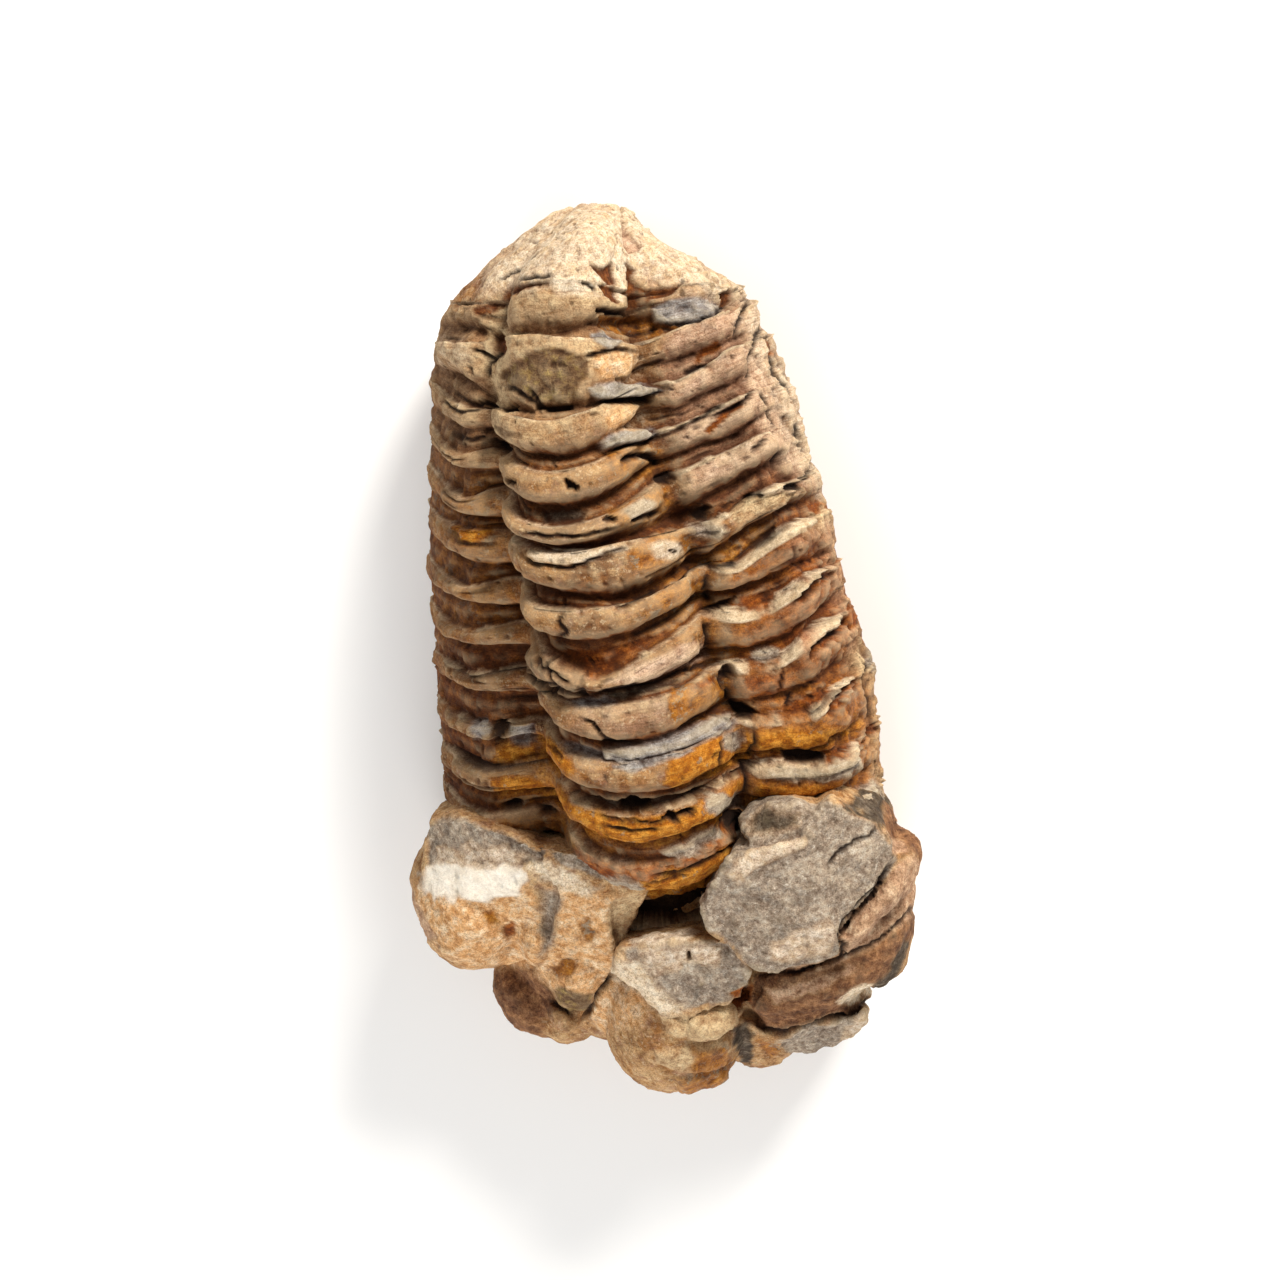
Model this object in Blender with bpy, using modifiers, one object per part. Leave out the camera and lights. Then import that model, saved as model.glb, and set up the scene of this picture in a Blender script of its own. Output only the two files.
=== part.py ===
"""A trilobite fossil in one piece of stone, lying on its belly.

Metres, +Z up, +Y towards the tail, +X to the animal's right as it is seen from above with
its tail up. The origin is on the surface it lies on, under the middle of its box.
"""

import math

import bmesh
import bpy
import numpy as np
from mathutils import Matrix, Vector

MM = 0.001

# The picture's scale: the fossil is 89 mm from tail to brow as it is seen, over 892 pixels.
SEEN_LENGTH = 89.0
SEEN_LENGTH_PX = 892.0
PICTURE_MIDDLE_PX = 640.0

# The line of sight, from above and a little from the tail and the right.
SIGHT_PITCH = 15.0
SIGHT_LEAN = 8.0
SIGHT_TWIST = 8.0
SIGHT_DISTANCE = 600.0
SIGHT_TARGET = (2.0, 4.4, 22.0)

# Across a ring: left margin, bend, furrow, three points on the axis, furrow, bend, right margin.
# Each row is the edge that a ring turns to the tail, in picture pixels, with the height of its
# crest in millimetres and how far its underside lies nearer the head than its margins.
RING_EDGES = (
    (6.0, 2.0, (578, 216), (582, 215), (588, 214), (594, 213), (600, 212), (606, 213), (612, 214), (618, 215),
     (622, 216)),
    (13.5, 4.6, (562, 212), (566, 210), (574, 207), (586, 206), (598, 205), (610, 206), (620, 207), (627, 210),
     (632, 214)),
    (20.5, 4.4, (527, 232), (536, 232), (552, 227), (572, 223), (592, 222), (612, 224), (628, 228), (645, 232),
     (658, 238)),
    (25.0, 3.6, (486, 266), (500, 262), (526, 254), (552, 250), (580, 248), (606, 251), (630, 254), (676, 258),
     (708, 267)),
    (28.0, 3.0, (452, 304), (470, 303), (502, 300), (525, 286), (570, 282), (606, 287), (635, 292), (700, 284),
     (742, 289)),
    (30.0, 2.5, (436, 342), (452, 342), (492, 337), (520, 334), (560, 336), (600, 338), (645, 342), (720, 314),
     (756, 310)),
    (31.5, 2.5, (431, 378), (456, 408), (487, 408), (510, 418), (550, 421), (600, 407), (655, 385), (732, 349),
     (776, 340)),
    (32.3, 2.5, (430, 418), (451, 453), (490, 450), (520, 466), (560, 467), (610, 453), (657, 435), (745, 397),
     (795, 382)),
    (33.0, 2.5, (429, 460), (456, 498), (494, 491), (515, 522), (560, 530), (615, 512), (668, 480), (762, 432),
     (806, 420)),
    (33.3, 2.5, (428, 506), (458, 543), (500, 534), (522, 549), (565, 554), (630, 533), (700, 524), (778, 482),
     (820, 472)),
    (33.5, 2.5, (429, 553), (458, 587), (508, 580), (530, 607), (580, 613), (645, 594), (708, 566), (795, 522),
     (836, 515)),
    (33.5, 2.5, (430, 600), (460, 632), (516, 628), (543, 655), (596, 665), (655, 648), (710, 618), (812, 578),
     (847, 565)),
    (33.3, 2.5, (434, 645), (462, 676), (524, 674), (556, 702), (613, 709), (675, 693), (722, 668), (826, 622),
     (860, 612)),
    (32.8, 2.5, (437, 690), (468, 727), (532, 724), (565, 757), (622, 766), (690, 750), (742, 722), (842, 684),
     (876, 668)),
    (32.0, 2.5, (441, 735), (476, 771), (540, 768), (575, 805), (632, 820), (695, 803), (749, 770), (855, 738),
     (883, 715)),
    (30.5, 2.5, (444, 778), (480, 817), (550, 818), (585, 855), (640, 874), (702, 858), (748, 822), (860, 785),
     (886, 770)),
    (22.0, 2.5, (447, 825), (484, 862), (556, 868), (595, 915), (650, 935), (705, 925), (750, 880), (862, 835),
     (888, 820)),
    (17.0, 2.5, (470, 880), (500, 905), (560, 920), (600, 965), (655, 985), (700, 975), (745, 930), (840, 890),
     (868, 875)),
)
TAIL_PLATE_ROWS = 5
CREST_SHARES = (0.66, 0.715, 0.80, 0.955, 1.0, 0.955, 0.80, 0.715, 0.66)
MARGIN_TOP = 12.5

# The underside, from the right margin round to the left: share of the half width, height.
UNDERSIDE = ((0.87, 4.2), (0.68, 0.5), (0.0, -0.6), (-0.68, 0.5), (-0.87, 4.2))
TAIL_END_BELOW = (-0.9, -1.4, -3.0)

# A ring's profile: where its groove lies between its own edge and the next, and its depths.
GROOVE_SHARES = (0.85, 0.87, 0.63, 0.55, 0.75, 0.78, 0.52, 0.53, 0.62, 0.56, 0.57, 0.40, 0.5)
RIB_GROOVE_SHARE = 0.6
GROOVE_DEPTH = 2.3
RECESS_DEPTH = 1.3
CREST_RISE = 0.3
RIB_SHARE_OF_DEPTH = 0.85
MARGIN_SHARE_OF_DEPTH = 0.4
FURROW_DEPTH = 1.2
FURROW_SHARE_ON_TAIL = 0.3
ROWS_BETWEEN_EDGES = (0.0, 0.09, 0.25, 0.45, 0.65, 0.82, 1.0, 1.12, 1.5, 1.94)
ROWS_ON_TAIL_PLATE = (0.0, 0.25, 0.5, 0.75)
STEPS_BETWEEN_POINTS = 5

# The head's rounded lumps: middle in picture pixels and height, three radii, turn about Z, then
# the broken faces that cut it: a point on the face, and how it slopes along X and Y.
HEAD_EGGS = {
    "base": ((660, 920, 9.5), (21.8, 14.2, 12.0), 6.0, ()),
    "left_boss": ((478, 903, 14.5), (6.4, 6.9, 11.2), -5.0, (((482, 880, 25.2), (-0.25, -0.45)),)),
    "left_lobe": ((588, 958, 15.0), (4.6, 7.0, 9.8), -30.0, ()),
    "valley": ((548, 918, 14.0), (3.0, 4.6, 9.4), -5.0, ()),
    "brow": ((672, 1016, 14.5), (8.0, 8.4, 12.8), 0.0, (((690, 975, 27.6), (0.05, -0.05)),)),
    "brow_front": ((664, 1041, 11.5), (7.3, 5.2, 9.0), -8.0, ()),
    "small_lobe": ((562, 1018, 12.0), (2.2, 2.6, 4.0), 0.0, ()),
    "back_lump": ((526, 1000, 9.0), (4.4, 5.2, 5.5), 25.0, ()),
    "right_cheek": ((852, 916, 14.0), (6.9, 8.6, 11.6), 25.0, (((886, 880, 23.5), (0.65, 0.0)),)),
    "cheek_middle": ((800, 968, 13.5), (8.4, 5.4, 12.4), 18.0, ()),
    "cheek_fold": ((812, 986, 12.0), (6.6, 4.4, 10.6), 22.0, ()),
    "front_matrix": ((798, 1024, 8.0), (6.4, 3.6, 7.8), 8.0, ()),
    "side_matrix": ((872, 950, 9.0), (3.4, 5.2, 8.0), 20.0, ()),
}

# The head's broken blocks: the corners of each, in picture pixels and height.
HEAD_BLOCKS = {
    "left_break": ((434, 830, 21.0), (470, 822, 25.0), (528, 838, 27.0), (556, 850, 27.8), (548, 880, 27.5),
                   (540, 900, 26.0), (470, 905, 23.0), (428, 885, 20.0), (424, 862, 20.0), (440, 850, 8.0),
                   (540, 890, 8.0)),
    "lobe_break": ((545, 848, 27.6), (600, 866, 28.8), (650, 885, 28.0), (641, 918, 27.0), (625, 940, 26.0),
                   (600, 985, 22.0), (548, 905, 25.5), (556, 950, 23.5), (560, 880, 8.0), (620, 930, 8.0),
                   (585, 985, 8.0)),
    "brow_break": ((632, 952, 28.0), (700, 937, 28.6), (738, 960, 28.0), (745, 1000, 26.5), (655, 1003, 27.0),
                   (640, 1000, 10.0), (740, 960, 10.0), (740, 1040, 10.0)),
    "slab_left": ((705, 890, 30.5), (735, 852, 30.6), (800, 842, 30.4), (840, 935, 29.0), (798, 970, 28.0),
                  (762, 974, 28.0), (724, 938, 28.8), (703, 912, 29.6), (720, 900, 10.0), (790, 860, 10.0),
                  (830, 930, 10.0), (770, 960, 10.0)),
    "slab_right": ((800, 842, 30.4), (812, 815, 28.6), (832, 798, 27.4), (868, 818, 26.4), (892, 852, 25.0),
                   (862, 903, 26.6), (842, 934, 28.4), (780, 930, 28.6), (830, 830, 9.0), (880, 860, 9.0),
                   (840, 920, 9.0)),
    "slab_back": ((748, 838, 29.0), (806, 832, 29.4), (820, 806, 27.2), (770, 804, 25.6), (744, 814, 25.6),
                  (760, 830, 12.0), (820, 830, 12.0), (780, 850, 12.0)),
}
REMESH_GRAIN = 0.75
TRIANGLES = 9400
LYING_CUT = 0.25


def sight_axes():
    """The picture's right, its up, and the way back to the eye, as columns."""
    lean = Matrix.Rotation(math.radians(SIGHT_LEAN), 3, "Y")
    pitch = Matrix.Rotation(-math.radians(SIGHT_PITCH), 3, "X")
    twist = Matrix.Rotation(-math.radians(SIGHT_TWIST), 3, "Z")
    return np.array(lean @ pitch @ twist)


def seen_at(px, py, height):
    """The point of the given height, in millimetres, that the picture shows at a pixel."""
    axes = sight_axes()
    eye = np.array(SIGHT_TARGET) + SIGHT_DISTANCE * axes[:, 2]
    focal_px = SIGHT_DISTANCE * SEEN_LENGTH_PX / SEEN_LENGTH
    along = (
        (px - PICTURE_MIDDLE_PX) / focal_px * axes[:, 0]
        + (PICTURE_MIDDLE_PX - py) / focal_px * axes[:, 1]
        - axes[:, 2]
    )
    return eye + along * (height - eye[2]) / along[2]


def smooth(low, high, value):
    """0 below low, 1 above high, and an S between them."""
    share = np.clip((value - low) / (high - low), 0.0, 1.0)
    return share * share * (3.0 - 2.0 * share)


def curve_point(points, share):
    """A point between the middle two of four, on the smooth curve through them all."""
    a, b, c, d = points
    return 0.5 * (
        2.0 * b
        + (c - a) * share
        + (2.0 * a - 5.0 * b + 4.0 * c - d) * share**2
        + (3.0 * b - a - 3.0 * c + d) * share**3
    )


def ring_section(edge):
    """The closed loop of knots round the body at one ring's edge."""
    crest, setback = edge[:2]
    knots = []
    for (px, py), share in zip(edge[2:], CREST_SHARES):
        height = crest * share
        if share == CREST_SHARES[0]:
            height = min(height, MARGIN_TOP)
        knots.append(seen_at(px, py, height))
    left, right = knots[0], knots[-1]
    middle = (left + right) / 2.0
    half = (right - left) / 2.0
    fullness = min(left[2] / MARGIN_TOP, 1.0)
    for share, height in UNDERSIDE:
        knot = middle + half * share
        back = setback * (1.0 - abs(share) / 2.0)
        knots.append(np.array((knot[0], knot[1] - back, height * fullness)))
    return np.array(knots)


def ring_profile(share, at_axis):
    """How far the surface stands above the smooth body, from one ring's edge to the next.

    The share is 0 on the edge, 1 in the groove and 2 at the next edge.
    """
    fall = smooth(0.45, 1.0, share)
    roll = CREST_RISE * smooth(0.0, 0.15, share) - (GROOVE_DEPTH + CREST_RISE) * fall
    floor = -GROOVE_DEPTH + (GROOVE_DEPTH - RECESS_DEPTH) * smooth(1.0, 1.35, share)
    depth = roll if share <= 1.0 else floor
    return depth * (1.0 if at_axis else RIB_SHARE_OF_DEPTH)


def row_loops():
    """Every row of the body, tail end first, as a loop of points and the profile's height there."""
    sections = [ring_section(edge) for edge in RING_EDGES]
    knot_count = len(sections[0])
    rows = []
    for k in range(len(sections) - 1):
        ring = k - TAIL_PLATE_ROWS + 1
        four = [sections[min(max(k + step, 0), len(sections) - 1)] for step in (-1, 0, 1, 2)]
        marks = ROWS_BETWEEN_EDGES if ring >= 0 else ROWS_ON_TAIL_PLATE
        for mark in marks:
            row, lift = [], []
            for knot in range(knot_count):
                for step in range(STEPS_BETWEEN_POINTS):
                    across = knot + step / STEPS_BETWEEN_POINTS
                    share = mark
                    if ring >= 0:
                        share = place_between_edges(mark, across, ring)
                    ends = [
                        curve_point([section[(knot + n) % knot_count] for n in (-1, 0, 1, 2)],
                                    step / STEPS_BETWEEN_POINTS)
                        for section in four
                    ]
                    row.append(curve_point(ends, share))
                    lift.append(lift_at(mark, across, ring))
            rows.append((np.array(row), np.array(lift)))
    return rows


def axis_weight(across):
    """1 on the axis of the back, 0 on the ribs and below."""
    return float(smooth(1.9, 2.6, across) * (1.0 - smooth(5.4, 6.1, across)))


def place_between_edges(mark, across, ring):
    """A row's mark, 1 in the groove and 2 at the next edge, as a share of the way there."""
    weight = axis_weight(across)
    groove = GROOVE_SHARES[ring] * weight + RIB_GROOVE_SHARE * (1.0 - weight)
    if mark <= 1.0:
        return mark * groove
    return groove + (mark - 1.0) * (1.0 - groove)


def lift_at(mark, across, ring):
    """The surface's height over the smooth body at a row's mark, fading out under the belly."""
    last_knot = len(CREST_SHARES) - 1
    from_middle = abs(across - last_knot / 2.0)
    furrow = -FURROW_DEPTH * math.exp(-(((from_middle - 2.0) / 0.3) ** 2))
    if ring < 0:
        return furrow * FURROW_SHARE_ON_TAIL
    below = smooth(last_knot + 0.6, last_knot + 1.8, across)
    below *= 1.0 - smooth(last_knot + 4.2, last_knot + 5.4, across)
    edge = smooth(2.6, 3.9, from_middle)
    weight = axis_weight(across)
    height = weight * ring_profile(mark, True) + (1.0 - weight) * ring_profile(mark, False)
    height *= 1.0 - edge * (1.0 - MARGIN_SHARE_OF_DEPTH)
    return (height + furrow) * (1.0 - below)


def build_body():
    """The tail plate, the ringed back and the belly, as one closed loft."""
    rows = row_loops()
    surface = np.array([row for row, _ in rows])
    lifts = np.array([lift for _, lift in rows])
    along = np.gradient(surface, axis=0)
    round_it = np.roll(surface, -1, axis=1) - np.roll(surface, 1, axis=1)
    normals = np.cross(along, round_it)
    normals /= np.linalg.norm(normals, axis=2, keepdims=True)
    surface = surface + normals * lifts[:, :, None]
    bm = bmesh.new()
    grid = [[bm.verts.new(point * MM) for point in row] for row in surface]
    count = len(grid[0])
    for upper, lower in zip(grid, grid[1:]):
        for n in range(count):
            bm.faces.new((upper[n], lower[n], lower[(n + 1) % count], upper[(n + 1) % count]))
    tail_end = surface[0].mean(axis=0) + np.array(TAIL_END_BELOW)
    for loop, tip in ((grid[0], tail_end), (grid[-1], surface[-1].mean(axis=0))):
        middle = bm.verts.new(tip * MM)
        for n in range(count):
            bm.faces.new((loop[n], loop[(n + 1) % count], middle))
    bmesh.ops.recalc_face_normals(bm, faces=bm.faces)
    return finish_mesh(bm, "body")


def finish_mesh(bm, name):
    mesh = bpy.data.meshes.new(name)
    bm.to_mesh(mesh)
    bm.free()
    return bpy.data.objects.new(name, mesh)


def build_block(name):
    """One broken block of the head: the flat-sided stone between its corners."""
    bm = bmesh.new()
    for px, py, height in HEAD_BLOCKS[name]:
        bm.verts.new(seen_at(px, py, height) * MM)
    bmesh.ops.convex_hull(bm, input=bm.verts)
    bmesh.ops.recalc_face_normals(bm, faces=bm.faces)
    return finish_mesh(bm, name)


def build_egg(name):
    """One rounded lump of the head, with its broken faces cut flat."""
    (px, py, height), radii, turn, breaks = HEAD_EGGS[name]
    bm = bmesh.new()
    bmesh.ops.create_icosphere(bm, subdivisions=4, radius=1.0)
    bmesh.ops.scale(bm, vec=Vector(radii) * MM, verts=bm.verts)
    bmesh.ops.rotate(bm, matrix=Matrix.Rotation(math.radians(turn), 3, "Z"), verts=bm.verts)
    bmesh.ops.translate(bm, vec=Vector(seen_at(px, py, height)) * MM, verts=bm.verts)
    for (break_px, break_py, break_height), (slope_x, slope_y) in breaks:
        point = Vector(seen_at(break_px, break_py, break_height)) * MM
        cut_off(bm, point, Vector((slope_x, slope_y, 1.0)).normalized())
    return finish_mesh(bm, name)


def cut_off(bm, point, normal):
    """Removes what lies beyond a plane and closes the cut with a flat face."""
    geometry = bm.verts[:] + bm.edges[:] + bm.faces[:]
    cut = bmesh.ops.bisect_plane(bm, geom=geometry, plane_co=point, plane_no=normal, clear_outer=True)
    rim = [item for item in cut["geom_cut"] if isinstance(item, bmesh.types.BMEdge)]
    if rim:
        bmesh.ops.contextual_create(bm, geom=rim)


def fuse(pieces, name):
    """The pieces grown together in one skin, thinned to few faces and cut flat to lie on."""
    joined = bmesh.new()
    for piece in pieces:
        joined.from_mesh(piece.data)
        bpy.data.objects.remove(piece)
    fossil = finish_mesh(joined, name)
    bpy.context.scene.collection.objects.link(fossil)
    remesh = fossil.modifiers.new("one_skin", "REMESH")
    remesh.mode = "VOXEL"
    remesh.voxel_size = REMESH_GRAIN * MM
    skin = skinned(fossil)
    fossil.modifiers.clear()
    fossil.data = skin
    thin = fossil.modifiers.new("fewer_faces", "DECIMATE")
    thin.ratio = TRIANGLES / (2.0 * len(skin.polygons))
    thin.use_collapse_triangulate = True
    fossil.data = skinned(fossil)
    fossil.modifiers.clear()
    bm = bmesh.new()
    bm.from_mesh(fossil.data)
    cut_off(bm, Vector((0.0, 0.0, LYING_CUT * MM)), Vector((0.0, 0.0, -1.0)))
    bmesh.ops.translate(bm, vec=(0.0, 0.0, -LYING_CUT * MM), verts=bm.verts)
    bmesh.ops.triangulate(bm, faces=[face for face in bm.faces if len(face.verts) > 3])
    bm.to_mesh(fossil.data)
    bm.free()
    return fossil


def skinned(thing):
    """The mesh that an object's modifiers make."""
    bpy.context.view_layer.update()
    depsgraph = bpy.context.evaluated_depsgraph_get()
    return bpy.data.meshes.new_from_object(thing.evaluated_get(depsgraph))


def stone_material():
    material = bpy.data.materials.new("fossil_limestone")
    material.use_nodes = True
    shader = material.node_tree.nodes["Principled BSDF"]
    shader.inputs["Base Color"].default_value = (0.45, 0.32, 0.19, 1.0)
    shader.inputs["Roughness"].default_value = 0.85
    shader.inputs["Metallic"].default_value = 0.0
    return material


def main():
    for thing in list(bpy.data.objects):
        bpy.data.objects.remove(thing)
    pieces = [build_body()]
    pieces += [build_egg(name) for name in HEAD_EGGS]
    pieces += [build_block(name) for name in HEAD_BLOCKS]
    fossil = fuse(pieces, "trilobite_fossil")
    fossil.data.materials.clear()
    fossil.data.materials.append(stone_material())
    collection = bpy.data.collections.new("trilobite")
    bpy.context.scene.collection.children.link(collection)
    bpy.context.scene.collection.objects.unlink(fossil)
    collection.objects.link(fossil)
    fossil.data.shade_smooth()


main()
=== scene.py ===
"""The looks of a trilobite fossil, one stone about 94 mm long, lying on its belly.

The frame is in metres. Shapes are worked out in millimetres, from pixels of the 1280 px picture.
"""

import itertools
import math

import bmesh
import bpy
import numpy as np
from mathutils import Matrix, Vector


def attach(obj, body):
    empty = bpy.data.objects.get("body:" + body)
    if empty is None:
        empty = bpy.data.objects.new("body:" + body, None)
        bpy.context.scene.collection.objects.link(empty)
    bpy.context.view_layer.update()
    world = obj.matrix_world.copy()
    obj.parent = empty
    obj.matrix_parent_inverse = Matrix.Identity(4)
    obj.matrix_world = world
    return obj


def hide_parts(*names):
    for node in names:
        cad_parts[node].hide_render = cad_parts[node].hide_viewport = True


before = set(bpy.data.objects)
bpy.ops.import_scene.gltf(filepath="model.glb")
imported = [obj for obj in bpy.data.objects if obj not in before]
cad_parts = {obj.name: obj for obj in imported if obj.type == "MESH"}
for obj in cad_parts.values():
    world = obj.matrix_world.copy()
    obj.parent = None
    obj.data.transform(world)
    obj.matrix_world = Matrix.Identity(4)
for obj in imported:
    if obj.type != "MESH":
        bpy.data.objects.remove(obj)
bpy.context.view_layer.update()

# The ringed back, the flanks and the tail plate.
# Chalky tan limestone that replaced the animal's shell, one stone with the head: twelve rings,
# each a rolled bar with a thin broken edge and a groove behind it, flaked and split by weather.

# It is drawn as lines across the body, tail first. Each holds the height of its crest in
# millimetres, on the tail plate also how far its underside lies behind it, and the pixels that
# show it: from the left margin over the bend, the furrow and the axis to the right furrow, and
# over three knots of the right flank to the margin.
TAIL_LINES = (
    (6.0, 2.0, (578, 216), (582, 215), (588, 214), (594, 213), (600, 212), (606, 213), (612, 214),
        (614, 214), (616, 215), (618, 215), (622, 216)),
    (13.5, 4.6, (562, 212), (566, 210), (574, 207), (586, 206), (598, 205), (610, 206), (620, 207),
        (622, 208), (625, 209), (627, 210), (632, 214)),
    (20.5, 4.4, (527, 232), (536, 232), (552, 227), (572, 223), (592, 222), (612, 224), (628, 228),
        (634, 229), (640, 231), (645, 232), (658, 238)),
    (25.0, 3.6, (486, 266), (500, 262), (526, 254), (552, 250), (580, 248), (606, 251), (630, 254),
        (645, 255), (660, 256), (676, 258), (708, 267)),
)
# A ring has two lines, its lip and its groove.
RING_LINES = (
    (28.0, (452, 304), (470, 303), (502, 300), (525, 286), (570, 282), (606, 287), (635, 292),
        (656, 290), (678, 287), (700, 284), (742, 289)),
    (29.0, (440, 325), (465, 322), (497, 335), (520, 329), (560, 328), (600, 321), (640, 316),
        (660, 312), (680, 307), (702, 302), (746, 297)),
    (30.0, (436, 342), (452, 342), (492, 340), (520, 334), (560, 336), (600, 338), (645, 342),
        (670, 331), (697, 321), (722, 312), (756, 304)),
    (30.8, (432, 362), (462, 380), (490, 399), (512, 408), (548, 410), (605, 400), (648, 366),
        (672, 360), (702, 349), (735, 338), (762, 326)),
    (31.5, (431, 378), (456, 406), (487, 408), (510, 416), (550, 420), (600, 406), (655, 386),
        (681, 379), (704, 366), (735, 347), (772, 337)),
    (31.9, (430, 400), (455, 427), (485, 432), (515, 453), (560, 457), (605, 445), (650, 415),
        (680, 406), (712, 391), (746, 375), (779, 352)),
    (32.3, (430, 418), (451, 453), (490, 450), (520, 468), (560, 472), (610, 458), (657, 435),
        (685, 424), (715, 410), (755, 391), (790, 382)),
    (32.7, (430, 440), (455, 468), (490, 474), (518, 502), (560, 508), (603, 499), (668, 462),
        (695, 449), (728, 436), (762, 418), (796, 398)),
    (33.0, (429, 460), (456, 498), (494, 491), (515, 520), (560, 528), (615, 512), (668, 480),
        (697, 466), (728, 452), (765, 434), (801, 420)),
    (33.2, (429, 485), (456, 514), (497, 524), (520, 540), (560, 549), (612, 538), (680, 512),
        (708, 495), (738, 481), (775, 461), (808, 444)),
    (33.3, (428, 503), (455, 530), (500, 534), (522, 550), (565, 555), (630, 541), (700, 524),
        (728, 515), (752, 501), (785, 486), (815, 470)),
    (33.4, (428, 530), (459, 562), (506, 572), (535, 592), (575, 599), (630, 596), (700, 562),
        (728, 544), (755, 527), (790, 508), (823, 490)),
    (33.5, (429, 553), (458, 587), (508, 582), (530, 607), (580, 612), (645, 599), (708, 568),
        (738, 564), (762, 546), (795, 524), (830, 512)),
    (33.5, (429, 578), (460, 602), (513, 615), (545, 640), (590, 646), (640, 632), (708, 602),
        (740, 592), (775, 577), (806, 562), (838, 545)),
    (33.5, (430, 600), (460, 632), (516, 628), (545, 662), (598, 682), (655, 652), (712, 616),
        (745, 612), (773, 602), (812, 577), (842, 562)),
    (33.4, (431, 624), (462, 646), (520, 654), (553, 690), (604, 695), (660, 680), (714, 657),
        (743, 651), (778, 641), (812, 622), (848, 592)),
    (33.3, (434, 645), (462, 676), (524, 674), (558, 703), (613, 709), (675, 694), (722, 668),
        (748, 664), (783, 658), (812, 632), (854, 608)),
    (33.0, (435, 669), (466, 692), (528, 702), (560, 736), (608, 747), (672, 738), (735, 705),
        (760, 701), (792, 693), (826, 678), (866, 642)),
    (32.8, (437, 690), (468, 727), (532, 726), (565, 757), (622, 766), (690, 750), (742, 722),
        (770, 718), (807, 714), (834, 694), (873, 667)),
    (32.4, (438, 716), (472, 741), (536, 746), (570, 787), (628, 800), (692, 790), (747, 763),
        (775, 757), (812, 753), (845, 738), (877, 705)),
    (32.0, (441, 735), (476, 771), (540, 768), (575, 806), (632, 820), (695, 803), (749, 774),
        (780, 765), (815, 766), (848, 757), (880, 722)),
    (31.4, (442, 760), (478, 795), (548, 800), (590, 836), (640, 850), (700, 834), (748, 808),
        (778, 804), (812, 803), (850, 790), (882, 755)),
    (30.5, (444, 778), (480, 817), (550, 818), (585, 855), (640, 874), (702, 858), (748, 828),
        (780, 820), (815, 818), (856, 804), (883, 780)),
    (27.0, (446, 800), (482, 838), (556, 850), (600, 885), (648, 897), (700, 888), (748, 850),
        (780, 846), (815, 842), (862, 822), (885, 802)),
    (22.0, (447, 825), (484, 862), (556, 868), (595, 915), (650, 935), (705, 925), (750, 880),
        (785, 872), (820, 862), (862, 840), (886, 824)),
    (17.0, (470, 880), (500, 905), (560, 920), (600, 965), (655, 985), (700, 975), (745, 930),
        (778, 922), (808, 910), (840, 890), (868, 875)),
)

# A pixel and a height make a point, along the line of sight: from above, leaning to the tail and
# to the right, 600 mm away. Lengths are in millimetres and angles in degrees.
MM = 0.001
SEEN_LENGTH = 89.0
SEEN_LENGTH_PX = 892.0
PICTURE_MIDDLE_PX = 640.0
SIGHT_PITCH = 15.0
SIGHT_LEAN = 8.0
SIGHT_TWIST = 8.0
SIGHT_DISTANCE = 600.0
SIGHT_TARGET = np.array((2.0, 4.4, 22.0))


def sight_axes():
    """The picture's right, its up, and the way back to the eye, as columns."""
    lean = Matrix.Rotation(math.radians(SIGHT_LEAN), 3, "Y")
    pitch = Matrix.Rotation(-math.radians(SIGHT_PITCH), 3, "X")
    twist = Matrix.Rotation(-math.radians(SIGHT_TWIST), 3, "Z")
    return np.array(lean @ pitch @ twist)


SIGHT = sight_axes()
EYE = SIGHT_TARGET + SIGHT_DISTANCE * SIGHT[:, 2]
FOCAL_PX = SIGHT_DISTANCE * SEEN_LENGTH_PX / SEEN_LENGTH


def seen_at(px, py, height):
    """The point of the given height, in millimetres, that the picture shows at a pixel."""
    along = (
        (px - PICTURE_MIDDLE_PX) / FOCAL_PX * SIGHT[:, 0]
        + (PICTURE_MIDDLE_PX - py) / FOCAL_PX * SIGHT[:, 1]
        - SIGHT[:, 2]
    )
    return EYE + along * (height - EYE[2]) / along[2]


# A section's knots: how much of the crest's height each has, and those of the underside, as
# places across the half width and heights where the margin is at its highest.
CREST_SHARES = (0.66, 0.715, 0.80, 0.955, 1.0, 0.955, 0.80, 0.775, 0.745, 0.715, 0.66)
MARGIN_TOP = 12.5
UNDERSIDE = ((0.87, 4.2), (0.68, 0.5), (0.0, -0.6), (-0.68, 0.5), (-0.87, 4.2))
RING_SETBACK = 2.5


def line_section(crest, setback, pixels):
    """The closed loop of knots round the body at one line."""
    knots = []
    for (px, py), share in zip(pixels, CREST_SHARES):
        height = crest * share
        if share == CREST_SHARES[0]:
            height = min(height, MARGIN_TOP)
        knots.append(seen_at(px, py, height))
    left, right = knots[0], knots[-1]
    middle = (left + right) / 2.0
    half = (right - left) / 2.0
    fullness = min(left[2] / MARGIN_TOP, 1.0)
    for share, height in UNDERSIDE:
        knot = middle + half * share
        back = setback * (1.0 - abs(share) / 2.0)
        knots.append(np.array((knot[0], knot[1] - back, height * fullness)))
    return np.array(knots)


def curve_weights(share):
    """How much four points in a row count in the smooth curve between the middle two."""
    return 0.5 * np.array((
        -share + 2.0 * share**2 - share**3,
        2.0 - 5.0 * share**2 + 3.0 * share**3,
        share + 4.0 * share**2 - 3.0 * share**3,
        -(share**2) + share**3,
    ))


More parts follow.
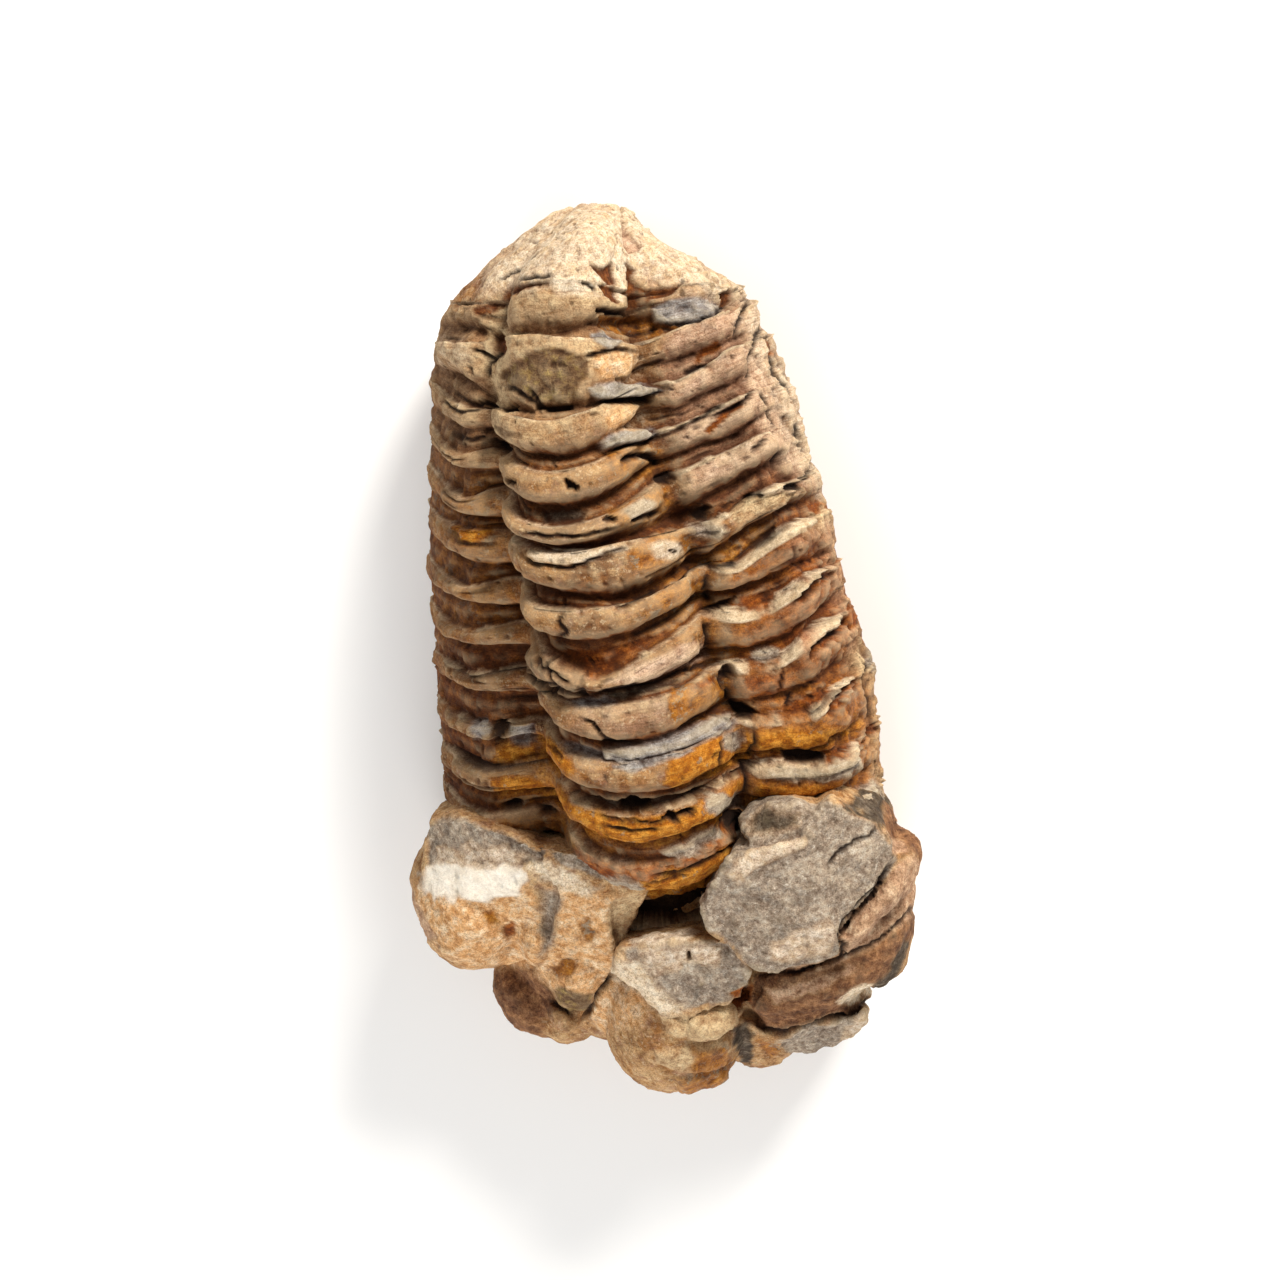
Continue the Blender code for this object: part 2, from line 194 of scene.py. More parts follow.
# The skin's grid is fine over the back and coarse below. Rows crowd towards the next lip.
STEPS_BETWEEN_KNOTS = (30, 16, 14, 20, 22, 20, 11, 12, 12, 28, 6, 5, 4, 4, 5, 6)
ROW_STEP = 0.27
FEWEST_ROWS = 4
WIDE_GAP_PERCENT = 80
LIP_CROWDING = 1.3


def plain_body():
    """The body without its rings: points by row and column, and each row's mark.

    A mark is 0 on a ring's lip, 1 in its groove and 2 at the next lip; it is -1 on the tail.
    Each column has a place, in knots from the left margin.
    """
    sections = [line_section(crest, setback, pixels) for crest, setback, *pixels in TAIL_LINES]
    sections += [line_section(crest, RING_SETBACK, pixels) for crest, *pixels in RING_LINES]
    sections = np.array(sections)
    places = np.concatenate(
        [knot + np.arange(steps) / steps for knot, steps in enumerate(STEPS_BETWEEN_KNOTS)])
    knots = np.floor(places).astype(int)
    weights = np.array([curve_weights(place - knot) for place, knot in zip(places, knots)])
    loops = sum(
        weights[:, n][None, :, None] * sections[:, (knots + n - 1) % sections.shape[1]]
        for n in range(4)
    )
    rows, marks, rings = [], [], []
    tail = len(TAIL_LINES)
    for k in range(len(loops) - 1):
        gap = np.percentile(np.linalg.norm(loops[k + 1] - loops[k], axis=1), WIDE_GAP_PERCENT)
        count = max(FEWEST_ROWS, int(np.ceil(gap / ROW_STEP)))
        for share in np.arange(count) / count:
            if k < tail:
                four = loops[[max(k - 1, 0), k, k + 1, k + 2]]
                rows.append(np.tensordot(curve_weights(share), four, axes=1))
                marks.append(-1.0)
                rings.append(-1)
                continue
            on_groove = (k - tail) % 2
            if on_groove:
                share = 1.0 - (1.0 - share) ** LIP_CROWDING
            rows.append(loops[k] * (1.0 - share) + loops[k + 1] * share)
            marks.append(on_groove + share)
            rings.append((k - tail) // 2)
    return np.array(rows), np.array(marks), np.array(rings), places


def smooth(low, high, value):
    """0 below low, 1 above high, and an S between them."""
    share = np.clip((value - low) / (high - low), 0.0, 1.0)
    return share * share * (3.0 - 2.0 * share)


def level_between(rise, fall, value):
    """0 before a rise, 1 up to a fall and 0 after it, each given by its start and its end."""
    return smooth(*rise, value) * (1.0 - smooth(*fall, value))


# Large primes and bit shifts that turn a cell of the stone's lumps into an even chance value.
CELL_PRIMES = (73856093, 19349663, 83492791)
SEED_PRIME, SEED_START = 7919, 17
SCRAMBLES = ((13, 1274126177), (15, 2246822519))
LOW_32_BITS = 0xFFFFFFFF
HALF_OF_16_BITS = 32767.5


def lumps(points, grain, seed):
    """How high the stone's lumps are at each point, from -1 to 1, each about one grain across."""
    cell = points / grain
    base = np.floor(cell).astype(np.int64)
    part = cell - base
    part = part * part * (3.0 - 2.0 * part)
    total = np.zeros(len(points))
    for corner in itertools.product((0, 1), repeat=3):
        spot = base + np.array(corner)
        chance = seed * SEED_PRIME + SEED_START
        for n, prime in enumerate(CELL_PRIMES):
            chance = chance ^ spot[:, n] * prime
        for shift, factor in SCRAMBLES:
            chance = ((chance ^ (chance >> shift)) * factor) & LOW_32_BITS
        value = (chance >> 8 & 0xFFFF) / HALF_OF_16_BITS - 1.0
        total += value * np.where(np.array(corner), part, 1.0 - part).prod(axis=1)
    return total


def crumbly(points, grain, seed, layers=3):
    """Lumps of stone with finer and weaker ones laid over them, each layer half as big."""
    turn = np.array(Matrix.Rotation(0.9, 3, "X") @ Matrix.Rotation(0.7, 3, "Z"))
    total = np.zeros(len(points))
    reach = 0.0
    for layer in range(layers):
        strength = 0.5**layer
        total += strength * lumps(points, grain * strength, seed + layer)
        reach += strength
        points = points @ turn
    return total / reach


# A ring's profile. Depths are in millimetres, places along the body in marks, and places across
# it in knots, as the start and end of each rise and fall.
GROOVE_DEPTH = 2.3
RECESS_DEPTH = 1.6
LIP_UNDER_CREST = 0.25
CREST_RISE = 0.35
BAR_MIDDLE, BAR_HALF, BAR_SQUARENESS = 0.42, 0.60, 3.0
RECESS_CLIMB, LIP_STEP = (1.0, 1.5), (1.92, 2.0)
AXIS = ((1.9, 2.7), (5.3, 6.0))
RIGHT_FLANK = (5.9, 6.3)
RIGHT_MARGIN = (9.0, 9.6)
BETWEEN_MARGINS = ((0.1, 0.9), (9.1, 9.9))
BELLY = ((10.6, 12.0), (14.4, 15.6))
# Edges wander by this much, more on the right flank and towards the next lip.
EDGE_WANDER, MORE_WANDER_RIGHT, NEXT_LIP = 0.085, 0.05, (1.2, 1.8)
RIB_SHARE_OF_DEPTH = 0.85
MARGIN_SHARE_OF_DEPTH = 0.16
SHALLOWER_AT_TAIL = 0.35
TAIL_RINGS = (0.5, 5.0)
HEAD_RINGS = (4.0, 6.5)
UNEVEN_DEPTH = 0.35
# The furrows beside the axis: knot, width in knots and share of the depth.
FURROWS = ((2.0, 0.30, 1.0), (6.0, 0.26, 1.25))
FURROW_DEPTH = 1.2
FURROW_SHARE_ON_TAIL = 0.25
FURROW_WANDER = 0.12
# The recess's brown, clay with painted shade: where it starts and is full, and how much sooner and
# fainter.
STAIN_START, STAIN_WANDER, STAIN_SOONER_RIGHT, STAIN_FULL = 0.36, 0.16, 0.20, 0.88
STAIN_END = (1.90, 1.97)
FAINTER_AT_TAIL = 0.40
# The pale film on each lip, broader and standing up on the right flank, worn off in places.
LIP_WIDTH, LIP_WIDER_RIGHT, LIP_WANDER, LIP_EDGE = 0.03, 0.19, 0.07, 0.04
LIP_WORN_OFF = (-0.7, -0.1)
LIP_LEFT_SHARE = 0.5
LIP_RISE = 0.40


def swelling(places, knot, width):
    """A smooth swelling of the given width, in knots, at one knot of the sections."""
    return np.exp(-(((places - knot) / width) ** 2))


def ring_heights(marks, rings, places, points):
    """The rings' height over the plain body by row and column, with what stains it.

    Each ring is a bar, rounded from its lip to its groove; behind the groove the floor of the
    recess climbs slowly to the step of the next lip. The edges of all wander with the stone.
    """
    rows, columns = points.shape[:2]
    flat = points.reshape(-1, 3)
    ragged = crumbly(flat, 1.9, 5, 4).reshape(rows, columns)
    broad = crumbly(flat, 8.0, 11).reshape(rows, columns)
    on_rings = (marks >= 0.0)[:, None]
    near_tail = 1.0 - smooth(*TAIL_RINGS, rings.astype(float))[:, None]
    near_head = smooth(*HEAD_RINGS, rings.astype(float))[:, None]
    axis = level_between(*AXIS, places)
    right = smooth(*RIGHT_FLANK, places)
    edge = 1.0 - level_between(*BETWEEN_MARGINS, places)

    shift = EDGE_WANDER + MORE_WANDER_RIGHT * right * (1.0 - smooth(*RIGHT_MARGIN, places))
    mark = marks[:, None] + shift * ragged * (1.0 + smooth(*NEXT_LIP, marks[:, None]))
    round_bar = 1.0 - np.abs((mark - BAR_MIDDLE) / BAR_HALF) ** BAR_SQUARENESS
    bar = -GROOVE_DEPTH + (GROOVE_DEPTH + CREST_RISE) * np.maximum(round_bar, 0.0)
    floor = -GROOVE_DEPTH + (GROOVE_DEPTH - RECESS_DEPTH) * smooth(*RECESS_CLIMB, mark)
    floor += (RECESS_DEPTH - LIP_UNDER_CREST) * smooth(*LIP_STEP, mark)
    height = np.where(mark <= 1.0, bar, floor) * (1.0 + UNEVEN_DEPTH * broad)
    height *= axis + (1.0 - axis) * RIB_SHARE_OF_DEPTH
    height *= 1.0 - SHALLOWER_AT_TAIL * near_tail
    height *= 1.0 - edge * (1.0 - MARGIN_SHARE_OF_DEPTH)
    wander = places[None, :] + FURROW_WANDER * ragged
    furrow = -FURROW_DEPTH * sum(
        share * swelling(wander, knot, width) for knot, width, share in FURROWS)
    height = np.where(on_rings, height + furrow, furrow * FURROW_SHARE_ON_TAIL)

    # The brown from the bar's lower side to the next lip is clay and painted shade.
    start = STAIN_START + STAIN_WANDER * broad - STAIN_SOONER_RIGHT * right * near_head
    recess = smooth(start, STAIN_FULL, mark) * on_rings
    recess *= (1.0 - smooth(*STAIN_END, mark)) * (1.0 - FAINTER_AT_TAIL * near_tail)
    reach = LIP_WIDTH + LIP_WIDER_RIGHT * right * (1.0 - edge) * near_head + LIP_WANDER * ragged
    since_lip = np.where(mark > 1.5, 2.0 - mark, mark)
    lip = (1.0 - smooth(reach, reach + LIP_EDGE, since_lip)) * (mark > -0.5) * on_rings
    lip *= LIP_LEFT_SHARE + (1.0 - LIP_LEFT_SHARE) * right
    lip *= smooth(*LIP_WORN_OFF, ragged + broad)
    height = height + LIP_RISE * lip * right
    above = (1.0 - level_between(*BELLY, places))[None, :]
    return height * above, recess * above, lip * above


# What stains the stone: how strongly it covers, its mottled colours from dark to pale with their
# places in the mottling, and blotches on it as GROUND_BLOTCHES gives them. Ochre, rust and gold are
# iron oxide, grey and glassy are broken calcite, slate, olive, brown and bark are clay in hollows,
# cream, pale and white are fresh breaks, and shell, sand, tan and pink are the shell. Brown is also
# painted shade under the bars and on the left flank, bark painted shadow on the head's hind lumps,
# and sand partly painted light on the head's fronts.
STAINS = {
    "tan": (1.0, ((0.35, "#B08C64"), (0.6, "#E2CAA0")), ()),
    "pink": (0.9, ((0.35, "#B8947A"), (0.6, "#E6CAB0")), ()),
    "sand": (0.95, ((0.34, "#CA9258"), (0.48, "#EABC86"), (0.62, "#FAE2BE")), ()),
    "brown": (0.92, ((0.32, "#3E1E0A"), (0.5, "#703C18"), (0.66, "#9E6026")), ()),
    "ochre": (0.95, ((0.34, "#74400C"), (0.48, "#A46618"), (0.62, "#C48632")),
        ((1.5, 0.56, 0.60, 0.75, 0.53, "#9C927C"),)),
    "rust": (0.95, ((0.34, "#5A2808"), (0.5, "#904A12"), (0.64, "#B86C24")), ()),
    "gold": (0.97, ((0.32, "#8A480C"), (0.46, "#B87216"), (0.60, "#DC9C3C")),
        ((1.4, 0.62, 0.65, 0.6, 0.83, "#948A74"),)),
    "slate": (0.95, ((0.35, "#2A241E"), (0.5, "#4C443A"), (0.64, "#7A7062")), ()),
    "olive": (0.9, ((0.35, "#54402E"), (0.5, "#7E664A"), (0.65, "#A08A52")), ()),
    "cream": (0.95, ((0.35, "#E6CEA8"), (0.55, "#F8ECD4")), ()),
    "pale": (0.85, ((0.35, "#BFA98C"), (0.6, "#EFE4D2")), ()),
    "grey": (0.97, ((0.34, "#6E655A"), (0.45, "#93877A"), (0.55, "#AA9E8E"), (0.66, "#DCD4C6")),
        ((3.2, 0.48, 0.60, 0.60, 0.61, "#D8CDBA"), (2.6, 0.52, 0.64, 0.45, 0.71, "#766C5E"))),
    "glassy": (0.92, ((0.35, "#6E6F72"), (0.6, "#B9B8B6")), ()),
    "shell": (0.95, ((0.34, "#96745A"), (0.5, "#C4A082"), (0.64, "#E6CAAA")), ()),
    "bark": (0.95, ((0.34, "#4E3020"), (0.5, "#80583C"), (0.64, "#AC8058")), ()),
    "white": (1.0, ((0.36, "#F0E4CC"), (0.5, "#FCF6EA"), (0.66, "#FFFDF6")), ()),
    "lip": (0.9, ((0.35, "#C0A684"), (0.6, "#EEDFC4")), ()),
}
# The last stain is painted shade, near black, in holes, pockets, cracks, pits and splits.
STAIN_NAMES = (*STAINS, "dark")

# Where matrix or flattened shell fills the grooves: share of the relief that stays, softness in
# millimetres, stain and outline in pixels.
BACK_FILLS = (
    (0.35, 0.3, "glassy", ((600, 756), (640, 748), (690, 730), (722, 716), (740, 716), (736, 728),
        (700, 744), (660, 758), (620, 766), (600, 764))),
    (0.40, 0.5, "tan", ((488, 318), (505, 328), (512, 360), (508, 400), (502, 432), (486, 430),
        (484, 380), (480, 340))),
    (0.15, 0.5, "cream", ((556, 274), (590, 272), (616, 276), (622, 292), (600, 296), (560, 294),
        (548, 284))),
    (0.10, 0.2, "glassy", ((652, 308), (670, 300), (695, 297), (715, 299), (725, 304), (713, 313),
        (695, 321), (670, 325), (655, 320))),
    (0.10, 0.2, "glassy", ((589, 389), (597, 384), (612, 382), (640, 383), (664, 391), (650, 396),
        (630, 398), (603, 400), (593, 396))),
    (0.10, 0.2, "glassy", ((603, 443), (613, 433), (627, 428), (648, 428), (657, 435), (642, 442),
        (623, 445), (608, 449))),
    (0.25, 0.8, "tan", ((750, 296), (764, 318), (778, 344), (796, 384), (806, 424), (816, 462),
        (812, 476), (796, 470), (780, 450), (766, 424), (757, 392), (750, 368), (757, 340),
        (741, 330))),
    (0.45, 0.8, "tan", ((826, 500), (846, 552), (858, 610), (874, 664), (884, 720), (890, 800),
        (876, 800), (868, 720), (856, 664), (842, 610), (828, 552), (814, 512))),
    (0.30, 0.4, "grey", ((552, 862), (575, 858), (598, 862), (630, 872), (642, 884), (650, 900),
        (600, 905), (556, 885))),
)


def pixels_of(points):
    """The pixels that show points given in millimetres."""
    away = points - EYE
    depth = -(away @ SIGHT[:, 2])
    return (
        PICTURE_MIDDLE_PX + FOCAL_PX * (away @ SIGHT[:, 0]) / depth,
        PICTURE_MIDDLE_PX - FOCAL_PX * (away @ SIGHT[:, 1]) / depth,
    )


def from_stretch(px, py, start, end):
    """How far each pixel is from a straight stretch, and its place along it from 0 to 1."""
    (ax, ay), (bx, by) = start, end
    length = max((bx - ax) ** 2 + (by - ay) ** 2, 1e-9)
    share = np.clip(((px - ax) * (bx - ax) + (py - ay) * (by - ay)) / length, 0.0, 1.0)
    return np.hypot(px - ax - share * (bx - ax), py - ay - share * (by - ay)), share


def inside_by(px, py, outline):
    """How far inside an outline each pixel is, in millimetres, and negative outside."""
    nearest = np.full(px.shape, np.inf)
    inside = np.zeros(px.shape, bool)
    for (ax, ay), (bx, by) in zip(outline, outline[1:] + outline[:1]):
        nearest = np.minimum(nearest, from_stretch(px, py, (ax, ay), (bx, by))[0])
        if ay != by:
            inside ^= ((ay > py) != (by > py)) & (px < (bx - ax) * (py - ay) / (by - ay) + ax)
    return np.where(inside, nearest, -nearest) * SEEN_LENGTH / SEEN_LENGTH_PX


def fill_grooves(px, py, seen, heights, stains, fills):
    """Fills the rings' grooves where matrix or flattened shell hides them."""
    for kept, softness, stain, outline in fills:
        cover = smooth(-softness, softness, inside_by(px, py, outline)) * seen
        heights *= 1.0 - cover * (1.0 - kept)
        stains["brown"] *= 1.0 - cover
        stains["lip"] *= 1.0 - cover
        stains[stain] = np.maximum(stains[stain], cover)


# Broad changes of colour over the back: share, softness in millimetres, stain and outline.
BACK_TINTS = (
    (0.45, 2.0, "tan", ((425, 320), (480, 320), (505, 360), (505, 480), (425, 480))),
    (0.60, 1.5, "rust", ((735, 560), (850, 520), (872, 640), (840, 660), (760, 690), (735, 650))),
    (0.50, 1.5, "rust", ((750, 770), (850, 760), (870, 800), (800, 835), (750, 830))),
    (0.75, 1.5, "ochre", ((735, 690), (800, 680), (870, 680), (880, 720), (878, 800), (800, 830),
        (750, 830))),
    (0.45, 1.5, "rust", ((735, 690), (800, 680), (870, 680), (880, 720), (878, 800), (800, 830),
        (750, 830))),
    (0.70, 1.5, "ochre", ((495, 745), (530, 735), (570, 770), (610, 850), (560, 870), (500, 820))),
    # Brown over the left flank, partly its own colour and partly painted shade.
    (0.35, 2.5, "brown", ((428, 400), (500, 400), (515, 560), (540, 700), (545, 735), (440, 760))),
    (0.45, 1.5, "ochre", ((430, 470), (500, 470), (515, 580), (525, 640), (440, 640))),
    (0.40, 1.5, "brown", ((440, 760), (500, 760), (540, 830), (470, 830))),
    (0.55, 1.5, "ochre", ((640, 560), (720, 540), (735, 600), (760, 640), (740, 700), (700, 690),
        (640, 620))),
    (0.60, 1.5, "ochre", ((700, 540), (770, 515), (785, 560), (780, 600), (730, 620), (700, 600))),
    (0.90, 2.0, "pink", ((660, 330), (740, 290), (790, 340), (820, 470), (780, 520), (700, 500),
        (665, 420))),
    (0.35, 1.5, "pink", ((570, 690), (660, 690), (665, 725), (620, 745), (570, 735))),
    (0.55, 1.5, "pink", ((770, 560), (830, 520), (850, 560), (860, 640), (800, 660))),
    (0.35, 1.5, "ochre", ((505, 560), (530, 600), (560, 640), (540, 660), (505, 620))),
    (0.75, 1.5, "cream", ((480, 275), (510, 240), (560, 205), (620, 195), (700, 250), (755, 296),
        (700, 300), (640, 285), (600, 275), (530, 280), (490, 290))),
    (0.80, 1.2, "tan", ((470, 330), (480, 300), (600, 290), (620, 305), (600, 330), (540, 330))),
    (0.70, 2.0, "tan", ((430, 310), (500, 300), (640, 330), (640, 350), (600, 420), (520, 440),
        (430, 440))),
    (0.50, 1.0, "cream", ((740, 300), (760, 300), (800, 380), (830, 500), (815, 500), (780, 400))),
    (0.35, 1.0, "cream", ((430, 345), (460, 340), (470, 360), (440, 365))),
)


def tint_stone(points, seen, stains, tints):
    """Changes the colour broadly where the picture sees the stone."""
    px, py = pixels_of(points)
    mottle = crumbly(points, 4.0, 19)
    for share, softness, stain, outline in tints:
        reach = inside_by(px, py, outline) + softness * mottle
        cover = smooth(-softness, softness, reach) * seen
        stains[stain] = np.maximum(stains[stain], share * cover)


# Flakes lost from the back and patches on it: depth, softness and raggedness of the rim in
# millimetres, the stain on the floor, and the outline in pixels. A negative depth stands up.
# Patches with the near-black stain are holes and pockets with painted shade in them.
BACK_PATCHES = (
    # The tail plate: a rough strip down its middle, thin layers gone on both sides, grey calcite.
    (0.30, 0.12, 0.3, "cream", ((620, 231), (625, 250), (626, 270), (626, 287), (624, 303),
        (619, 296), (617, 275), (616, 257), (617, 242))),
    (0.45, 0.08, 0.3, "pink", ((624, 222), (628, 228), (645, 245), (642, 249), (632, 252),
        (627, 246))),
    (0.60, 0.10, 0.2, "brown", ((590, 265), (603, 267), (616, 263), (619, 270), (620, 284),
        (610, 283), (600, 276))),
    (0.60, 0.10, 0.2, "brown", ((599, 286), (611, 283), (620, 286), (622, 305), (612, 301),
        (605, 294))),
    (0.60, 0.10, 0.2, "brown", ((628, 260), (637, 270), (633, 277), (638, 284), (648, 288),
        (662, 287), (682, 285), (672, 294), (650, 299), (645, 306), (628, 309), (628, 285))),
    # Brown under the flake edges at ring 1's left, partly painted shade.
    (0.30, 0.18, 0.4, "brown", ((549, 285), (530, 286), (512, 287), (502, 297), (499, 309),
        (505, 306), (512, 296), (530, 290))),
    (0.35, 0.20, 0.4, "brown", ((472, 306), (480, 304), (498, 302), (498, 310), (488, 314),
        (474, 313))),
    (0.80, 0.10, 0.3, "brown", ((724, 294), (733, 286), (738, 288), (736, 297), (728, 300))),
    (0.10, 0.12, 0.3, "glassy", ((652, 310), (670, 302), (695, 299), (715, 301), (723, 305),
        (712, 313), (695, 320), (670, 323), (657, 320))),
    # Rings 1 and 2.
    (0.90, 0.06, 0.2, "dark", ((596, 310), (610, 309), (627, 311), (629, 315), (612, 314),
        (598, 313))),
    (0.55, 0.15, 0.4, "ochre", ((598, 314), (628, 316), (652, 318), (656, 330), (640, 338),
        (612, 331), (600, 326))),
    (0.50, 0.15, 0.4, "ochre", ((652, 322), (690, 322), (668, 332), (650, 340))),
    (0.70, 0.40, 0.5, "brown", ((493, 337), (500, 334), (506, 341), (505, 349), (501, 354),
        (493, 348))),
    (-0.25, 0.30, 0.6, "tan", ((506, 335), (520, 331), (542, 331), (543, 339), (520, 342))),
    (-0.30, 0.10, 0.4, "glassy", ((590, 333), (603, 330), (610, 338), (622, 343), (612, 349),
        (600, 345), (592, 339))),
    (0.45, 0.25, 0.5, "olive", ((513, 363), (520, 361), (527, 356), (540, 352), (558, 351),
        (580, 356), (587, 363), (588, 377), (580, 385), (577, 398), (562, 405), (537, 403),
        (527, 397), (520, 390), (507, 384), (500, 377), (503, 368))),
    (0.05, 0.60, 0.8, "sand", ((596, 354), (620, 351), (645, 352), (652, 366), (640, 380),
        (600, 379))),
    (0.90, 0.08, 0.2, "dark", ((534, 407), (548, 405), (573, 404), (572, 410), (552, 413),
        (538, 411))),
    (0.80, 0.08, 0.2, "dark", ((502, 408), (518, 405), (519, 410), (504, 412))),
    (-0.35, 0.10, 0.4, "glassy", ((589, 389), (597, 385), (612, 383), (640, 384), (664, 392),
        (650, 396), (630, 397), (603, 399), (593, 395))),
    (1.10, 0.10, 0.2, "dark", ((600, 400), (620, 398), (648, 397), (655, 402), (640, 405),
        (615, 404))),
    (0.05, 0.60, 0.8, "sand", ((606, 408), (640, 405), (655, 414), (650, 428), (625, 432),
        (606, 430))),
    # Rings 3 and 4.
    (0.90, 0.20, 0.3, "dark", ((492, 440), (503, 441), (510, 448), (508, 455), (498, 451))),
    (-0.40, 0.10, 0.4, "glassy", ((604, 443), (613, 434), (627, 429), (648, 429), (656, 436),
        (642, 441), (623, 444), (608, 449))),
    (0.05, 0.50, 0.5, "ochre", ((604, 454), (640, 446), (660, 450), (660, 466), (640, 482),
        (610, 484))),
    (0.90, 0.07, 0.1, "dark", ((623, 462), (631, 456), (642, 453), (653, 452), (659, 459),
        (656, 465), (649, 459), (640, 458), (631, 462))),
    (0.70, 0.08, 0.1, "dark", ((506, 479), (514, 480), (514, 484), (508, 484))),
    (0.80, 0.08, 0.1, "dark", ((564, 479), (570, 480), (579, 486), (578, 491), (567, 489))),
    (0.70, 0.30, 0.3, "slate", ((538, 511), (550, 507), (572, 508), (586, 513), (583, 523),
        (560, 526), (544, 523))),
    (0.10, 0.40, 0.5, "ochre", ((606, 512), (640, 496), (668, 488), (672, 502), (655, 524),
        (625, 530))),
    (-0.05, 0.25, 0.4, "grey", ((622, 512), (640, 500), (656, 502), (652, 512), (635, 518))),
    (0.80, 0.08, 0.1, "dark", ((602, 519), (610, 515), (619, 518), (616, 522), (606, 522))),
    (0.80, 0.08, 0.1, "dark", ((632, 519), (645, 514), (662, 507), (658, 513), (646, 518),
        (634, 522))),
    (1.20, 0.20, 0.3, "dark", ((655, 476), (668, 470), (676, 476), (670, 484), (658, 484))),
    # Ring 5: a white flake on its crest, a grey tongue at its right end.
    (-0.15, 0.15, 0.4, "pale", ((528, 553), (550, 550), (575, 549), (603, 550), (625, 543),
        (628, 548), (600, 557), (583, 563), (562, 565), (540, 563))),
    (0.00, 0.40, 0.5, "ochre", ((622, 552), (650, 538), (700, 528), (704, 546), (680, 566),
        (640, 574))),
    (0.00, 0.30, 0.4, "pale", ((652, 546), (665, 540), (681, 542), (684, 552), (672, 560),
        (655, 560))),
    (0.80, 0.08, 0.1, "dark", ((672, 550), (676, 550), (677, 554), (673, 554))),
    (-0.90, 0.45, 0.4, "grey", ((686, 524), (705, 520), (722, 524), (727, 531), (720, 538),
        (704, 538), (690, 532))),
    (-0.30, 0.40, 0.4, "brown", ((688, 538), (704, 538), (718, 540), (714, 548), (698, 552))),
    # Rings 6 and 7: a wide brown hollow where ring 7 is gone, with a rough lump at its left.
    (0.05, 0.60, 0.6, "ochre", ((644, 606), (668, 588), (692, 577), (704, 580), (704, 598),
        (680, 612), (655, 622))),
    (0.70, 0.35, 0.5, "rust", ((541, 642), (560, 650), (590, 652), (620, 644), (650, 636),
        (668, 630), (640, 650), (627, 658), (617, 668), (607, 676), (593, 680), (580, 677),
        (567, 668), (548, 656))),
    (-0.80, 0.50, 1.0, "bark", ((527, 657), (537, 653), (547, 660), (563, 667), (580, 677),
        (585, 686), (577, 696), (570, 703), (553, 698), (540, 690), (530, 674))),
    (0.50, 0.12, 0.3, "dark", ((577, 688), (585, 687), (587, 697), (580, 698))),
    (0.50, 0.12, 0.3, "dark", ((537, 655), (542, 657), (541, 664), (536, 662))),
    (0.00, 0.30, 0.6, "pink", ((604, 686), (640, 662), (700, 640), (708, 656), (660, 678),
        (625, 688))),
    (0.45, 0.30, 0.4, "slate", ((603, 697), (625, 691), (655, 684), (680, 676), (676, 684),
        (650, 694), (620, 703))),
    (0.30, 0.25, 0.4, "glassy", ((568, 702), (590, 698), (606, 697), (618, 704), (600, 708),
        (575, 709))),
    # Ring 8.
    (0.15, 0.10, 0.5, "ochre", ((672, 690), (700, 678), (720, 669), (727, 681), (731, 699),
        (727, 711), (702, 719), (675, 728), (671, 715), (668, 700))),
    (0.10, 0.15, 0.3, "rust", ((690, 686), (706, 678), (716, 675), (712, 684), (696, 692))),
    # Ring 9: glassy grey calcite in its recess, bright ochre at both ends.
    (0.30, 0.30, 0.3, "glassy", ((562, 740), (570, 743), (587, 748), (603, 753), (620, 758),
        (612, 763), (587, 759), (570, 755), (563, 749))),
    (-0.10, 0.30, 0.4, "glassy", ((630, 757), (650, 748), (692, 733), (722, 720), (737, 718),
        (730, 728), (700, 742), (670, 753), (645, 762))),
    (0.10, 0.25, 0.5, "glassy", ((612, 768), (640, 758), (668, 754), (700, 744), (712, 740),
        (690, 754), (660, 765), (630, 774))),
    (0.00, 0.20, 0.5, "gold", ((668, 764), (680, 756), (704, 744), (735, 727), (752, 733),
        (755, 748), (748, 762), (720, 774), (680, 788), (664, 784))),
    (0.00, 0.30, 0.5, "gold", ((535, 732), (552, 738), (563, 752), (572, 770), (566, 778),
        (548, 758))),
    (0.10, 0.20, 0.4, "grey", ((724, 733), (740, 728), (745, 740), (735, 752), (724, 747))),
    # Ring 10: ochre all along, with holes behind and in it, painted black as shade.
    (0.80, 0.15, 0.3, "slate", ((572, 792), (600, 799), (640, 802), (690, 794), (742, 768),
        (744, 772), (700, 798), (650, 810), (600, 808), (578, 799))),
    (1.10, 0.15, 0.3, "dark", ((615, 802), (632, 799), (652, 800), (651, 811), (632, 813),
        (617, 810))),
    (0.90, 0.12, 0.3, "dark", ((687, 795), (700, 790), (714, 786), (716, 790), (700, 798),
        (688, 801))),
    (0.00, 0.40, 0.5, "gold", ((545, 772), (575, 806), (632, 822), (695, 806), (744, 778),
        (748, 806), (700, 836), (640, 850), (590, 836), (552, 800))),
    (1.10, 0.08, 0.3, "dark", ((660, 820), (672, 814), (690, 810), (698, 808), (694, 815),
        (680, 819), (677, 826), (668, 822))),
    (0.05, 0.20, 0.7, "grey", ((704, 800), (722, 792), (744, 796), (742, 806), (722, 814),
        (706, 812))),
    # Between ring 10 and the head: a pocket painted black as shade, ochre ring 11, grey matrix.
    (1.40, 0.20, 0.3, "dark", ((722, 820), (735, 814), (748, 816), (748, 834), (732, 838),
        (723, 832))),
    (0.00, 0.20, 0.4, "gold", ((640, 882), (665, 874), (700, 858), (735, 840), (740, 850),
        (722, 872), (698, 892), (655, 898), (645, 892))),
    (1.20, 0.30, 0.4, "dark", ((628, 906), (650, 902), (680, 896), (704, 888), (722, 880),
        (716, 905), (700, 918), (660, 926), (632, 925))),
